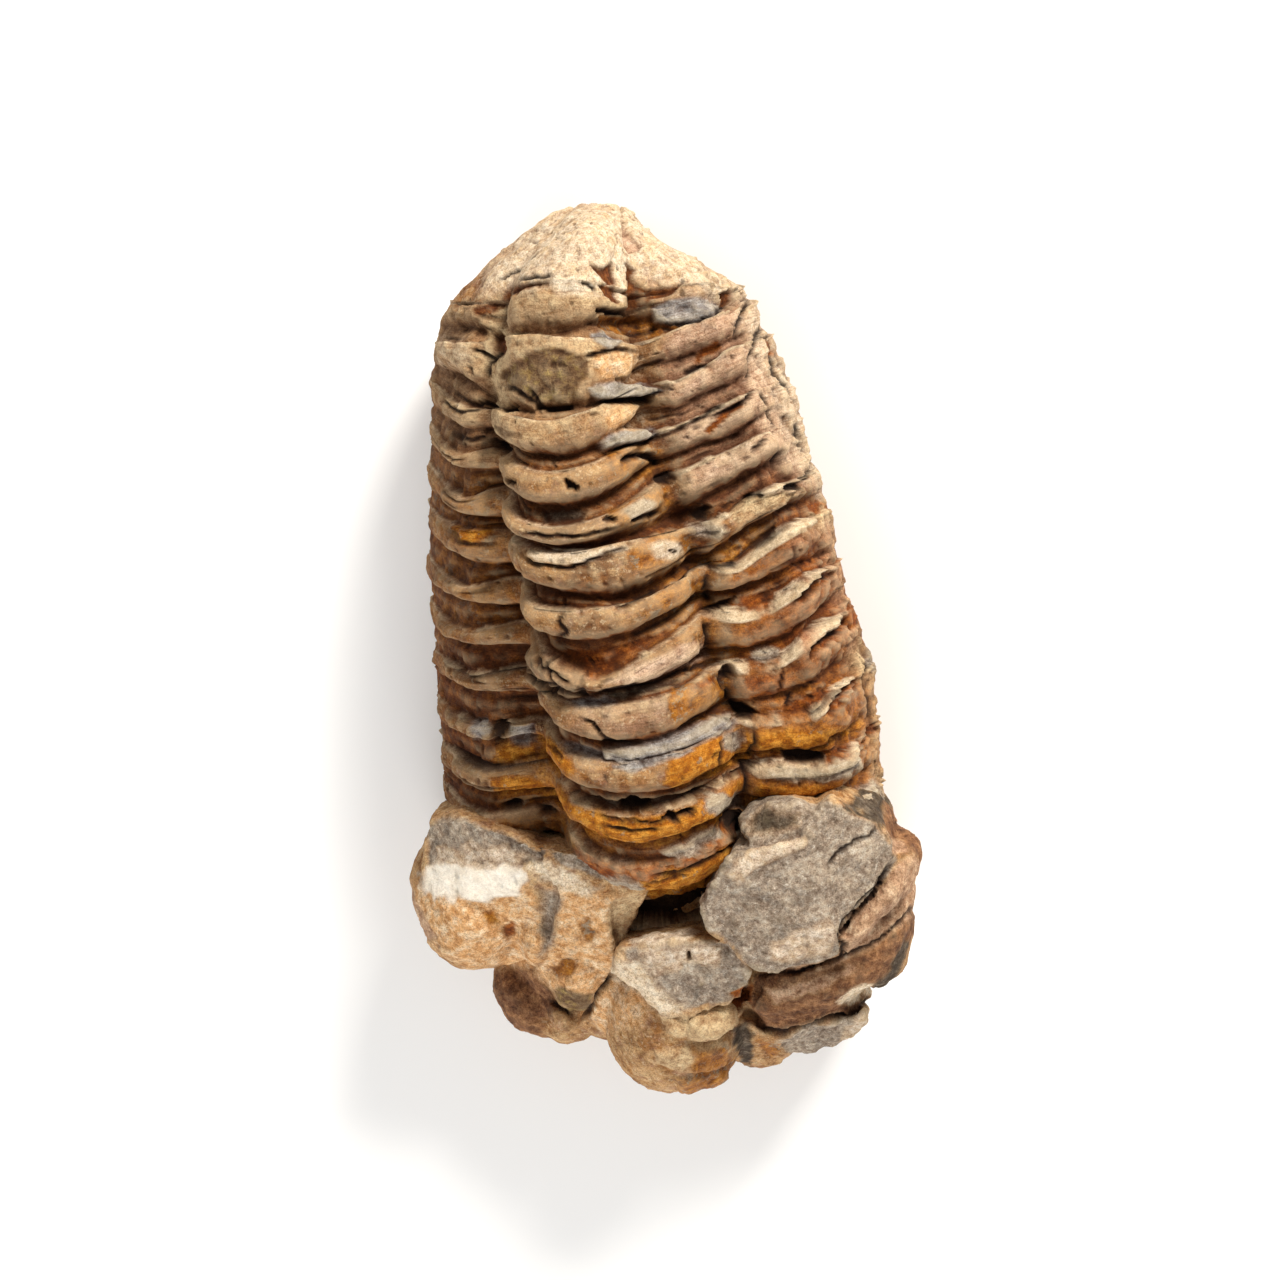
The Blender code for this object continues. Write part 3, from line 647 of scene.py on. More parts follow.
    (-0.40, 0.30, 0.6, "grey", ((690, 838), (712, 826), (722, 830), (722, 838), (700, 850),
        (672, 858), (664, 850))),
    # Left flank: an orange lip, a grey broken recess, pale lips.
    (0.00, 0.20, 0.4, "gold", ((452, 528), (462, 527), (487, 528), (498, 531), (487, 538),
        (462, 544), (453, 537))),
    (0.50, 0.20, 0.5, "glassy", ((470, 720), (487, 719), (490, 735), (478, 738), (468, 730))),
    (1.00, 0.20, 0.4, "dark", ((488, 726), (505, 722), (512, 724), (504, 740), (494, 742))),
    (0.40, 0.20, 0.5, "glassy", ((508, 728), (533, 724), (534, 742), (512, 744))),
    (0.05, 0.30, 0.5, "gold", ((500, 744), (536, 744), (545, 760), (520, 762), (498, 758))),
    (0.05, 0.30, 0.5, "gold", ((490, 779), (510, 776), (545, 778), (548, 794), (500, 796))),
    (0.90, 0.25, 0.5, "dark", ((500, 802), (516, 800), (520, 810), (506, 812))),
    (0.60, 0.25, 0.5, "dark", ((535, 806), (552, 806), (556, 816), (540, 816))),
    # Right flank: orange recesses, grey lumps, pockets at the furrow painted black as shade.
    (0.10, 0.30, 0.5, "rust", ((694, 354), (705, 347), (718, 343), (722, 350), (706, 359),
        (693, 362))),
    (0.20, 0.20, 0.5, "rust", ((736, 600), (755, 592), (775, 590), (778, 596), (770, 604),
        (768, 612), (748, 612))),
    (0.10, 0.30, 0.6, "ochre", ((700, 562), (728, 546), (750, 538), (758, 544), (738, 562),
        (712, 572))),
    (-0.20, 0.25, 0.5, "grey", ((752, 650), (768, 646), (784, 648), (780, 658), (762, 662),
        (752, 660))),
    (0.00, 0.60, 0.6, "rust", ((738, 680), (780, 670), (800, 678), (792, 694), (760, 702),
        (738, 700))),
    (0.20, 0.30, 0.5, "rust", ((782, 706), (800, 698), (822, 686), (832, 690), (815, 704),
        (806, 713), (784, 714))),
    (0.00, 0.50, 0.6, "gold", ((757, 730), (800, 728), (850, 728), (860, 716), (866, 724),
        (845, 740), (800, 750), (760, 756))),
    (0.30, 0.20, 0.5, "rust", ((822, 750), (838, 750), (850, 744), (852, 752), (838, 764),
        (826, 764))),
    (0.90, 0.25, 0.4, "dark", ((780, 752), (800, 749), (822, 753), (824, 763), (800, 764),
        (784, 760))),
    (-0.20, 0.25, 0.5, "grey", ((764, 769), (780, 763), (800, 768), (826, 767), (846, 760),
        (858, 752), (862, 766), (850, 778), (820, 782), (790, 779), (768, 775))),
    (0.00, 0.50, 0.6, "gold", ((752, 782), (790, 782), (830, 786), (842, 784), (838, 796),
        (800, 800), (756, 802))),
    (0.50, 0.30, 0.5, "grey", ((748, 812), (765, 806), (790, 812), (806, 826), (800, 838),
        (760, 834), (750, 826))),
    (1.30, 0.20, 0.3, "dark", ((722, 666), (732, 663), (737, 674), (728, 682), (722, 676))),
    (1.30, 0.20, 0.3, "dark", ((731, 704), (745, 703), (757, 714), (752, 721), (740, 719))),
    (1.00, 0.20, 0.3, "dark", ((741, 762), (750, 762), (751, 777), (743, 778))),
    (0.90, 0.25, 0.5, "dark", ((704, 608), (722, 602), (734, 598), (730, 606), (716, 612),
        (706, 614))),
    (1.00, 0.30, 0.4, "dark", ((690, 512), (705, 504), (712, 508), (706, 520), (694, 520))),
    (0.80, 0.20, 0.5, "dark", ((786, 484), (796, 481), (804, 484), (800, 488), (790, 488))),
    (0.00, 0.30, 0.8, "rust", ((560, 842), (600, 858), (640, 868), (690, 852), (735, 828),
        (738, 838), (700, 862), (650, 882), (610, 878), (570, 864))),
    # Splits with iron-stained floors along the ribs.
    (0.60, 0.12, 0.3, "rust", ((811, 656), (820, 644), (838, 627), (848, 617), (851, 622),
        (838, 635), (822, 651), (814, 661))),
    (0.60, 0.12, 0.3, "rust", ((797, 600), (812, 585), (832, 567), (836, 573), (815, 593),
        (802, 605))),
    (0.60, 0.12, 0.3, "rust", ((827, 713), (842, 695), (860, 677), (863, 683), (846, 701),
        (832, 717))),
    (0.60, 0.12, 0.3, "rust", ((860, 749), (872, 734), (878, 721), (881, 728), (872, 744),
        (864, 754))),
    (0.50, 0.12, 0.3, "rust", ((704, 430), (722, 414), (741, 402), (744, 406), (724, 420),
        (708, 435))),
    (0.50, 0.12, 0.3, "dark", ((784, 484), (800, 480), (806, 485), (800, 490), (786, 489))),
    (0.60, 0.15, 0.9, "tan", ((728, 512), (752, 497), (780, 490), (800, 492), (790, 504),
        (760, 514), (736, 522))),
    # The right margin, crumbly.
    (0.25, 0.20, 0.8, "rust", ((832, 546), (842, 548), (846, 562), (838, 568), (832, 558))),
    (0.25, 0.20, 0.8, "rust", ((846, 606), (858, 606), (862, 618), (852, 630), (846, 622))),
    (0.20, 0.20, 0.8, "rust", ((768, 342), (778, 348), (778, 358), (770, 354))),
    (0.20, 0.20, 0.8, "rust", ((812, 498), (826, 502), (824, 514), (812, 512))),
    (-0.30, 0.25, 0.6, "grey", ((868, 648), (876, 655), (876, 672), (868, 668))),
    (-0.20, 0.35, 0.6, "grey", ((858, 792), (876, 780), (886, 800), (884, 822), (868, 812))),
)

PATCH_ROOM_PX = 12.0


def pixels_near(px, py, outline, room):
    """Which pixels lie in the box round an outline, widened by some room."""
    xs, ys = zip(*outline)
    beside = (px > min(xs) - room) & (px < max(xs) + room)
    return beside & (py > min(ys) - room) & (py < max(ys) + room)


def patch_stone(points, seen, lift, stains, patches):
    """Sinks or raises each patch and stains its floor, where the picture sees the stone."""
    px, py = pixels_of(points)
    jitter_x = crumbly(points, 1.6, 31)
    jitter_y = crumbly(points, 1.6, 47)
    for depth, softness, ragged, stain, outline in patches:
        where = np.nonzero(pixels_near(px, py, outline, PATCH_ROOM_PX) & (seen > 0.0))[0]
        push = ragged * SEEN_LENGTH_PX / SEEN_LENGTH
        reach = inside_by(
            px[where] + push * jitter_x[where], py[where] + push * jitter_y[where], outline)
        cover = smooth(-softness, softness, reach) * seen[where]
        lift[where] -= depth * cover
        for name in STAIN_NAMES:
            if name != stain:
                stains[name][where] *= 1.0 - cover
        stains[stain][where] = np.maximum(stains[stain][where], cover)


# Cracks over the back, painted near black as shade: width and depth in millimetres, and the path in
# pixels.
BACK_CRACKS = (
    (0.14, 0.5, ((533, 660), (545, 668), (560, 671), (575, 680))),
    (0.14, 0.5, ((530, 672), (545, 680), (560, 683), (578, 690))),
    (0.14, 0.5, ((538, 689), (555, 692), (570, 697))),
    (0.14, 0.5, ((548, 659), (552, 672), (560, 684), (564, 698))),
    (0.16, 0.6, ((500, 386), (515, 392), (528, 400), (545, 407), (562, 409))),
    (0.14, 0.5, ((470, 405), (485, 402), (500, 408))),
    (0.12, 0.4, ((440, 400), (460, 414), (480, 409))),
    (0.12, 0.4, ((455, 430), (470, 440), (486, 436))),
    (0.14, 0.5, ((500, 352), (490, 364), (487, 378))),
    (0.14, 0.5, ((470, 349), (482, 350), (494, 360))),
    (0.12, 0.5, ((656, 322), (680, 323), (700, 320), (718, 311), (727, 303))),
    (0.14, 0.5, ((600, 400), (625, 399), (650, 397), (668, 391))),
    (0.14, 0.5, ((612, 450), (630, 446), (648, 442), (660, 435))),
    (0.12, 0.4, ((770, 345), (775, 360), (780, 376), (788, 392))),
    (0.12, 0.4, ((796, 420), (800, 436), (806, 452))),
    (0.12, 0.4, ((760, 392), (768, 410), (778, 428))),
    (0.14, 0.5, ((812, 462), (806, 478), (800, 492))),
    (0.14, 0.5, ((866, 660), (868, 690), (872, 720))),
    (0.22, 0.8, ((710, 562), (710, 575), (708, 588), (707, 600))),
    (0.20, 0.8, ((703, 622), (708, 637), (708, 653), (714, 662))),
    (0.22, 0.8, ((720, 676), (724, 684), (730, 696), (735, 708))),
    (0.18, 0.7, ((752, 728), (757, 742), (750, 757), (748, 778), (747, 793), (749, 812))),
    (0.12, 0.4, ((720, 738), (721, 752), (721, 768))),
    (0.14, 0.5, ((578, 720), (590, 725), (597, 732), (603, 740), (617, 743), (640, 742))),
    (0.16, 0.6, ((587, 697), (603, 693), (620, 690), (640, 685), (660, 679), (690, 668),
        (715, 660))),
    (0.12, 0.4, ((783, 668), (781, 680), (782, 690))),
    (0.12, 0.4, ((785, 706), (788, 698), (789, 690))),
    (0.18, 0.6, ((520, 555), (527, 562), (537, 565), (550, 567), (567, 568), (583, 565),
        (600, 558), (620, 551), (630, 545))),
    (0.20, 0.6, ((617, 612), (630, 605), (645, 597), (660, 588))),
    (0.12, 0.4, ((562, 612), (558, 622), (566, 630), (558, 638))),
    (0.16, 0.5, ((750, 295), (746, 307), (743, 317), (739, 326), (737, 337))),
    (0.16, 0.5, ((763, 318), (761, 333), (757, 347), (753, 360), (752, 370), (746, 380))),
    (0.14, 0.4, ((580, 284), (588, 286), (595, 290))),
    (0.10, 0.3, ((498, 279), (510, 272), (524, 264), (538, 254))),
    (0.12, 0.3, ((520, 280), (535, 278), (552, 277))),
    (0.12, 0.3, ((718, 310), (724, 304), (731, 297))),
    (0.14, 0.5, ((580, 356), (595, 353), (602, 351), (620, 350), (636, 352))),
    (0.12, 0.4, ((527, 392), (535, 398), (541, 403))),
    (0.14, 0.5, ((690, 424), (700, 417), (712, 411), (722, 406))),
    (0.18, 0.7, ((710, 418), (723, 412), (740, 403), (748, 396), (756, 391))),
    (0.16, 0.6, ((752, 450), (759, 443), (766, 437))),
    (0.14, 0.5, ((772, 463), (778, 457), (783, 451))),
    (0.20, 0.6, ((685, 372), (697, 367), (707, 366))),
    (0.12, 0.4, ((520, 532), (545, 537), (575, 536), (600, 533), (622, 527))),
    (0.16, 0.6, ((744, 500), (754, 497), (764, 496))),
    (0.14, 0.5, ((800, 598), (810, 590), (822, 580), (834, 570))),
    (0.22, 0.7, ((812, 658), (817, 647), (830, 637), (842, 628), (848, 618))),
    (0.18, 0.6, ((828, 711), (840, 700), (850, 690), (861, 679))),
    (0.16, 0.6, ((738, 565), (722, 566), (712, 567))),
    (0.14, 0.5, ((655, 880), (675, 874), (700, 864), (722, 852), (738, 842))),
    (0.14, 0.5, ((590, 812), (620, 822), (650, 824), (680, 816), (700, 806))),
    (0.12, 0.4, ((600, 826), (630, 832), (660, 830))),
)

CRACK_ROOM_PX = 10.0
CRACK_WANDER_PX = 4.0
CRACK_CORE = 0.08
CRACK_RIM = 0.16
CRACK_TIP = 0.15
TIP_WIDTH_SHARE = 0.3


def along_path(px, py, path):
    """How far each pixel is from a path, in millimetres, and its place along it from 0 to 1."""
    nearest = np.full(px.shape, np.inf)
    place = np.zeros(px.shape)
    for n, (start, end) in enumerate(zip(path, path[1:])):
        away, share = from_stretch(px, py, start, end)
        closer = away < nearest
        nearest = np.where(closer, away, nearest)
        place = np.where(closer, (n + share) / (len(path) - 1), place)
    return nearest * SEEN_LENGTH / SEEN_LENGTH_PX, place


def crack_stone(points, seen, lift, stains, cracks):
    """Cuts each crack, narrow at its ends and wandering a little, with shade painted into it."""
    px, py = pixels_of(points)
    jitter_x = CRACK_WANDER_PX * crumbly(points, 2.2, 61)
    jitter_y = CRACK_WANDER_PX * crumbly(points, 2.2, 73)
    for width, depth, path in cracks:
        where = np.nonzero(pixels_near(px, py, path, CRACK_ROOM_PX) & (seen > 0.0))[0]
        away, place = along_path(px[where] + jitter_x[where], py[where] + jitter_y[where], path)
        taper = smooth(0.0, CRACK_TIP, place) * smooth(0.0, CRACK_TIP, 1.0 - place)
        cover = 1.0 - smooth(CRACK_CORE, width + CRACK_RIM, away)
        cover = cover * (TIP_WIDTH_SHARE + (1.0 - TIP_WIDTH_SHARE) * taper)
        lift[where] -= depth * cover
        stains["dark"][where] = np.maximum(stains["dark"][where], cover)


# Weather. Layers gone in flakes: thickness, grain, the start and end of their edge, and seed.
FLAKES = ((0.20, 6.5, 0.0, 0.06, 131), (0.16, 2.6, 0.05, 0.11, 151))
FLAKES_MEAN = 0.18
# Rough stone: height, grain and seed.
ROUGH_STONE = ((0.22, 2.2, 83), (0.12, 0.8, 97))
# Pits and splits are cut in, and shade is painted into them by the given share.
PIT_GRAIN, PIT_DEPTH, PIT_EDGE, PIT_DARKNESS = 0.9, 0.22, (0.50, 0.62), 0.5
SPLIT_DEPTH, SPLIT_EDGE, SPLIT_DARKNESS = 0.30, (0.62, 0.74), 0.7
SPLIT_GROUP, SPLIT_GROUP_EDGE = 7.0, (-0.2, 0.3)


def weathered(points, along, splitting):
    """Flakes, pits, and splits along the rings: their height, and the shade painted into the pits
    and splits.
    """
    flakes = sum(
        thickness * smooth(low, high, crumbly(points, grain, seed, 4))
        for thickness, grain, low, high, seed in FLAKES
    )
    pits = smooth(*PIT_EDGE, crumbly(points, PIT_GRAIN, 171, 2))
    splits = smooth(*SPLIT_EDGE, lumps(along, 1.0, 191))
    splits = splits * smooth(*SPLIT_GROUP_EDGE, lumps(points, SPLIT_GROUP, 199))
    splits *= splitting
    rough = sum(height * crumbly(points, grain, seed) for height, grain, seed in ROUGH_STONE)
    height = flakes - FLAKES_MEAN - PIT_DEPTH * pits - SPLIT_DEPTH * splits + rough
    return height, np.maximum(PIT_DARKNESS * pits, SPLIT_DARKNESS * splits)


def softened(grid, reach):
    """A grid of values or points that closes round its columns, evened over a square."""
    span = range(2 * reach + 1)
    padded = np.pad(grid, ((reach, reach),) + ((0, 0),) * (grid.ndim - 1), mode="edge")
    rows = sum(padded[n:n + len(grid)] for n in span) / len(span)
    return sum(np.roll(rows, n - reach, axis=1) for n in span) / len(span)


def outward(points, reach):
    """Outward directions of a grid of points, evened over a square."""
    soft = softened(points, reach)
    along = np.gradient(soft, axis=0)
    around = np.roll(soft, -1, axis=1) - np.roll(soft, 1, axis=1)
    normals = np.cross(along, around)
    return normals / np.maximum(np.linalg.norm(normals, axis=2, keepdims=True), 1e-9)


LYING_CUT = 0.25


def laid_down(points):
    """The points moved to the surface that the fossil lies on, none below it."""
    points = points - np.array((0.0, 0.0, LYING_CUT))
    points[:, 2] = np.maximum(points[:, 2], 0.0)
    return points


def stone_skin(name, points, faces, stains, course):
    """A mesh from points in millimetres, with its stains and its fibres' course as attributes."""
    mesh = bpy.data.meshes.new(name)
    mesh.from_pydata((points * MM).tolist(), [], faces)
    mesh.validate()
    for stain, values in stains.items():
        attribute = mesh.attributes.new(stain, "FLOAT", "POINT")
        attribute.data.foreach_set("value", values.astype(np.float32))
    fibres = mesh.attributes.new("course", "FLOAT_VECTOR", "POINT")
    fibres.data.foreach_set("vector", course.astype(np.float32).reshape(-1))
    mesh.shade_smooth()
    piece = bpy.data.objects.new(name, mesh)
    bpy.context.scene.collection.objects.link(piece)
    return piece


# Where the picture sees the back, in knots: sharply for breaks, with a soft end for tints.
SEEN_TO, SEEN_FROM = 10.3, 15.7
UNTINTED = ((10.0, 11.5), (14.5, 16.0))
# How many splits and fibres there are to a knot and to a mark, and to a millimetre of the tail.
# A knot is about 5 mm and a mark 2.5 mm, so fibres are 2 mm long and 0.2 mm thick.
SPLITS_TO_KNOT, SPLITS_TO_MARK = 1.1, 6.5
FIBRES_TO_KNOT, FIBRES_TO_MARK, FIBRES_TO_MM = 2.5, 12.0, 1.4
# The crumbled right margin: knot, width, depth, grain and the start and end of its edge.
CRUMBLED_KNOT, CRUMBLED_WIDTH, CRUMBLED_DEPTH = 9.7, 0.6, 0.55
CRUMBLED_GRAIN, CRUMBLED_EDGE = 1.7, (0.05, 0.20)
OUTWARD_REACH = 5
# Dirt and painted shade lie in hollows, wide ones and narrow ones: strength, and reach in steps of
# the grid.
HOLLOWS = ((0.75, 6), (1.6, 2))
PROUD_REACH = 4
PROUD_HEIGHT = 0.35
TAIL_END_BELOW = (-0.9, -1.4, -3.0)


def build_back():
    """The ringed back as one closed skin."""
    body, marks, rings, places = plain_body()
    rows, columns = body.shape[:2]
    normals = outward(body, OUTWARD_REACH)
    heights, recess, lip = ring_heights(marks, rings, places, body)
    stains = {name: np.zeros(rows * columns) for name in STAIN_NAMES}
    # Brown recess: clay with painted shade.
    stains["brown"] = recess.reshape(-1)
    stains["lip"] = lip.reshape(-1)
    seen = np.tile((places <= SEEN_TO) | (places >= SEEN_FROM), rows)
    heights = heights.reshape(-1)
    fill_grooves(*pixels_of(body.reshape(-1, 3)), seen, heights, stains, BACK_FILLS)
    ringed = body + normals * heights.reshape(rows, columns)[:, :, None]

    flat = ringed.reshape(-1, 3)
    lift = np.zeros(rows * columns)
    tinted = np.tile(1.0 - level_between(*UNTINTED, places), rows)
    tint_stone(flat, tinted, stains, BACK_TINTS)
    patch_stone(flat, seen, lift, stains, BACK_PATCHES)
    crack_stone(flat, seen, lift, stains, BACK_CRACKS)
    mark = np.broadcast_to((2.0 * rings + marks)[:, None], (rows, columns)).reshape(-1)
    place = np.broadcast_to(places[None, :], (rows, columns)).reshape(-1)
    along = np.stack((SPLITS_TO_KNOT * place, SPLITS_TO_MARK * mark, 0.0 * place), axis=1)
    worn, pitted = weathered(flat, along, 1.0)
    lift += worn * seen
    crumbled = smooth(*CRUMBLED_EDGE, crumbly(flat, CRUMBLED_GRAIN, 301, 4))
    margin = swelling(place, CRUMBLED_KNOT, CRUMBLED_WIDTH) * seen
    lift -= CRUMBLED_DEPTH * margin * crumbled
    # Painted shade in the pits and splits.
    stains["dark"] = np.maximum(stains["dark"], pitted * seen)

    relief = (heights + lift).reshape(rows, columns)
    # Dirt and painted shade darken the hollows of the relief.
    hollow = sum(strength * (softened(relief, reach) - relief) for strength, reach in HOLLOWS)
    stains["hollow"] = np.clip(hollow.reshape(-1), 0.0, 1.0)
    # Rubbed edges where the relief stands proud, partly real wear and partly a painted highlight.
    proud = relief - softened(relief, PROUD_REACH)
    stains["proud"] = np.clip(proud.reshape(-1) / PROUD_HEIGHT, 0.0, 1.0)

    points = (ringed + normals * lift.reshape(rows, columns)[:, :, None]).reshape(-1, 3)
    ends = np.array((body[0].mean(axis=0) + np.array(TAIL_END_BELOW), body[-1].mean(axis=0)))
    points = laid_down(np.concatenate((points, ends)))
    for name in stains:
        stains[name] = np.concatenate((stains[name], (0.0, 0.0)))
    corner = np.arange(rows * columns).reshape(rows, columns)
    after = np.roll(corner, -1, axis=1)
    quads = np.stack((corner[:-1], corner[1:], after[1:], after[:-1]), axis=2)
    faces = quads.reshape(-1, 4).tolist()
    tail_end, head_end = rows * columns, rows * columns + 1
    faces += [(corner[0, n], after[0, n], tail_end) for n in range(columns)]
    faces += [(after[-1, n], corner[-1, n], head_end) for n in range(columns)]
    fibres = np.stack((FIBRES_TO_KNOT * place, FIBRES_TO_MARK * mark, 0.0 * place), axis=1)
    fibres = np.where((mark < 0.0)[:, None], FIBRES_TO_MM * flat, fibres)
    return stone_skin("ringed_back", points, faces, stains, np.concatenate((fibres, ends)))


def linear(hex_colour):
    """A colour written as sRGB hex, as the linear values that Blender takes."""
    channels = [int(hex_colour[n:n + 2], 16) / 255.0 for n in (1, 3, 5)]
    values = [c / 12.92 if c <= 0.04045 else ((c + 0.055) / 1.055) ** 2.4 for c in channels]
    return (*values, 1.0)


def add_node(tree, kind, settings=None, **links):
    """Adds a node with its settings, and links its inputs or sets them to a value or hex colour.

    An input is named as in Blender, with _ for a space, or i and its number. The setting "stops"
    holds the place and hex colour of each stop of a colour ramp.
    """
    node = tree.nodes.new(kind)
    for name, value in (settings or {}).items():
        if name != "stops":
            setattr(node, name, value)
            continue
        while len(node.color_ramp.elements) < len(value):
            node.color_ramp.elements.new(0.5)
        for element, (place, colour) in zip(node.color_ramp.elements, value):
            element.position = place
            element.color = linear(colour)
    for name, value in links.items():
        key = int(name[1:]) if name[0] == "i" and name[1:].isdigit() else name.replace("_", " ")
        if isinstance(value, bpy.types.NodeSocket):
            tree.links.new(value, node.inputs[key])
        else:
            node.inputs[key].default_value = linear(value) if isinstance(value, str) else value
    return node


# Limestone, weathered: its pores scatter the light, so it looks dry and chalky and has next to no
# highlight, while films of iron oxide are a little smoother. Calcite's IOR is near 1.5, and the
# pores bring it down. Sizes are in millimetres, as seen on such stone; the grit of chalk is finer
# than 0.05 mm, and 0.16 mm is as fine as the render shows.
GROUND_MOTTLE = (3.4, 8.0, 0.66)
GROUND_STOPS = (0.38, 0.46, 0.54, 0.62)
CRUMB = (1.2, 6.0, 0.68)
GRIT = (0.16, 3.0, 0.7, 0.3)
SPECKS = (0.42, 5.0, 0.7, 0.93)
CALCITE = (0.55, 7.0, 0.76, 0.5)
# Blotches: size, the start and end of their edge, strength, a shift of the pattern, and colour.
GROUND_BLOTCHES = (
    (1.3, 0.54, 0.61, 0.50, 0.11, "#D0B284"),
    (2.1, 0.54, 0.62, 0.55, 0.23, "#A47C66"),
    (2.8, 0.55, 0.64, 0.65, 0.37, "#A06A30"),
    (0.5, 0.56, 0.62, 0.55, 0.47, "#DCC8A4"),
)
BLOTCH_DETAIL, BLOTCH_BREAKUP = 8.0, 0.66
# What specks, grit and the fibres' streaks darken: share, and the colours to multiply by.
SPECK_SHADE = (0.35, ((0.36, "#84705C"), (0.50, "#F6F0EA"), (0.58, "#FFFFFF")))
GRIT_SHADE = (0.6, ((0.36, "#94867A"), (0.54, "#FFFFFF")))
STREAK_SHADE = (0.65, ((0.34, "#A07C60"), (0.50, "#F4E8DC"), (0.62, "#FFFFFF")))
STREAK_DETAIL, STREAK_BREAKUP = 5.0, 0.7
# Laid on last: share and colour. Dirt with painted shade lies thick where the crumb is low and thin
# where it is high.
FRESH_WHITE = (0.55, "#FFF4E0")
# Rubbed edges: real wear with a painted highlight.
RUBBED_AND_LIT_EDGE = (0.26, "#DCC69C")
# Near-black painted shade in holes, cracks, pits and splits.
PAINTED_SHADE_BLACK = (0.92, "#150B06")
DIRT_AND_SHADE = "#45230D"
DIRT_AND_SHADE_THICK, DIRT_AND_SHADE_THIN = (0.3, 1.1), (0.6, 0.6)
STONE_ROUGHNESS, IRON_ROUGHNESS = 0.92, 0.6
STONE_IOR = 1.45
STONE_SPECULAR = 0.22
# Fine relief: strength and depth of the streaks, the grit and the crumb.
STREAK_RELIEF, GRIT_RELIEF, CRUMB_RELIEF = (0.7, 0.16), (0.9, 0.14), (0.8, 0.50)


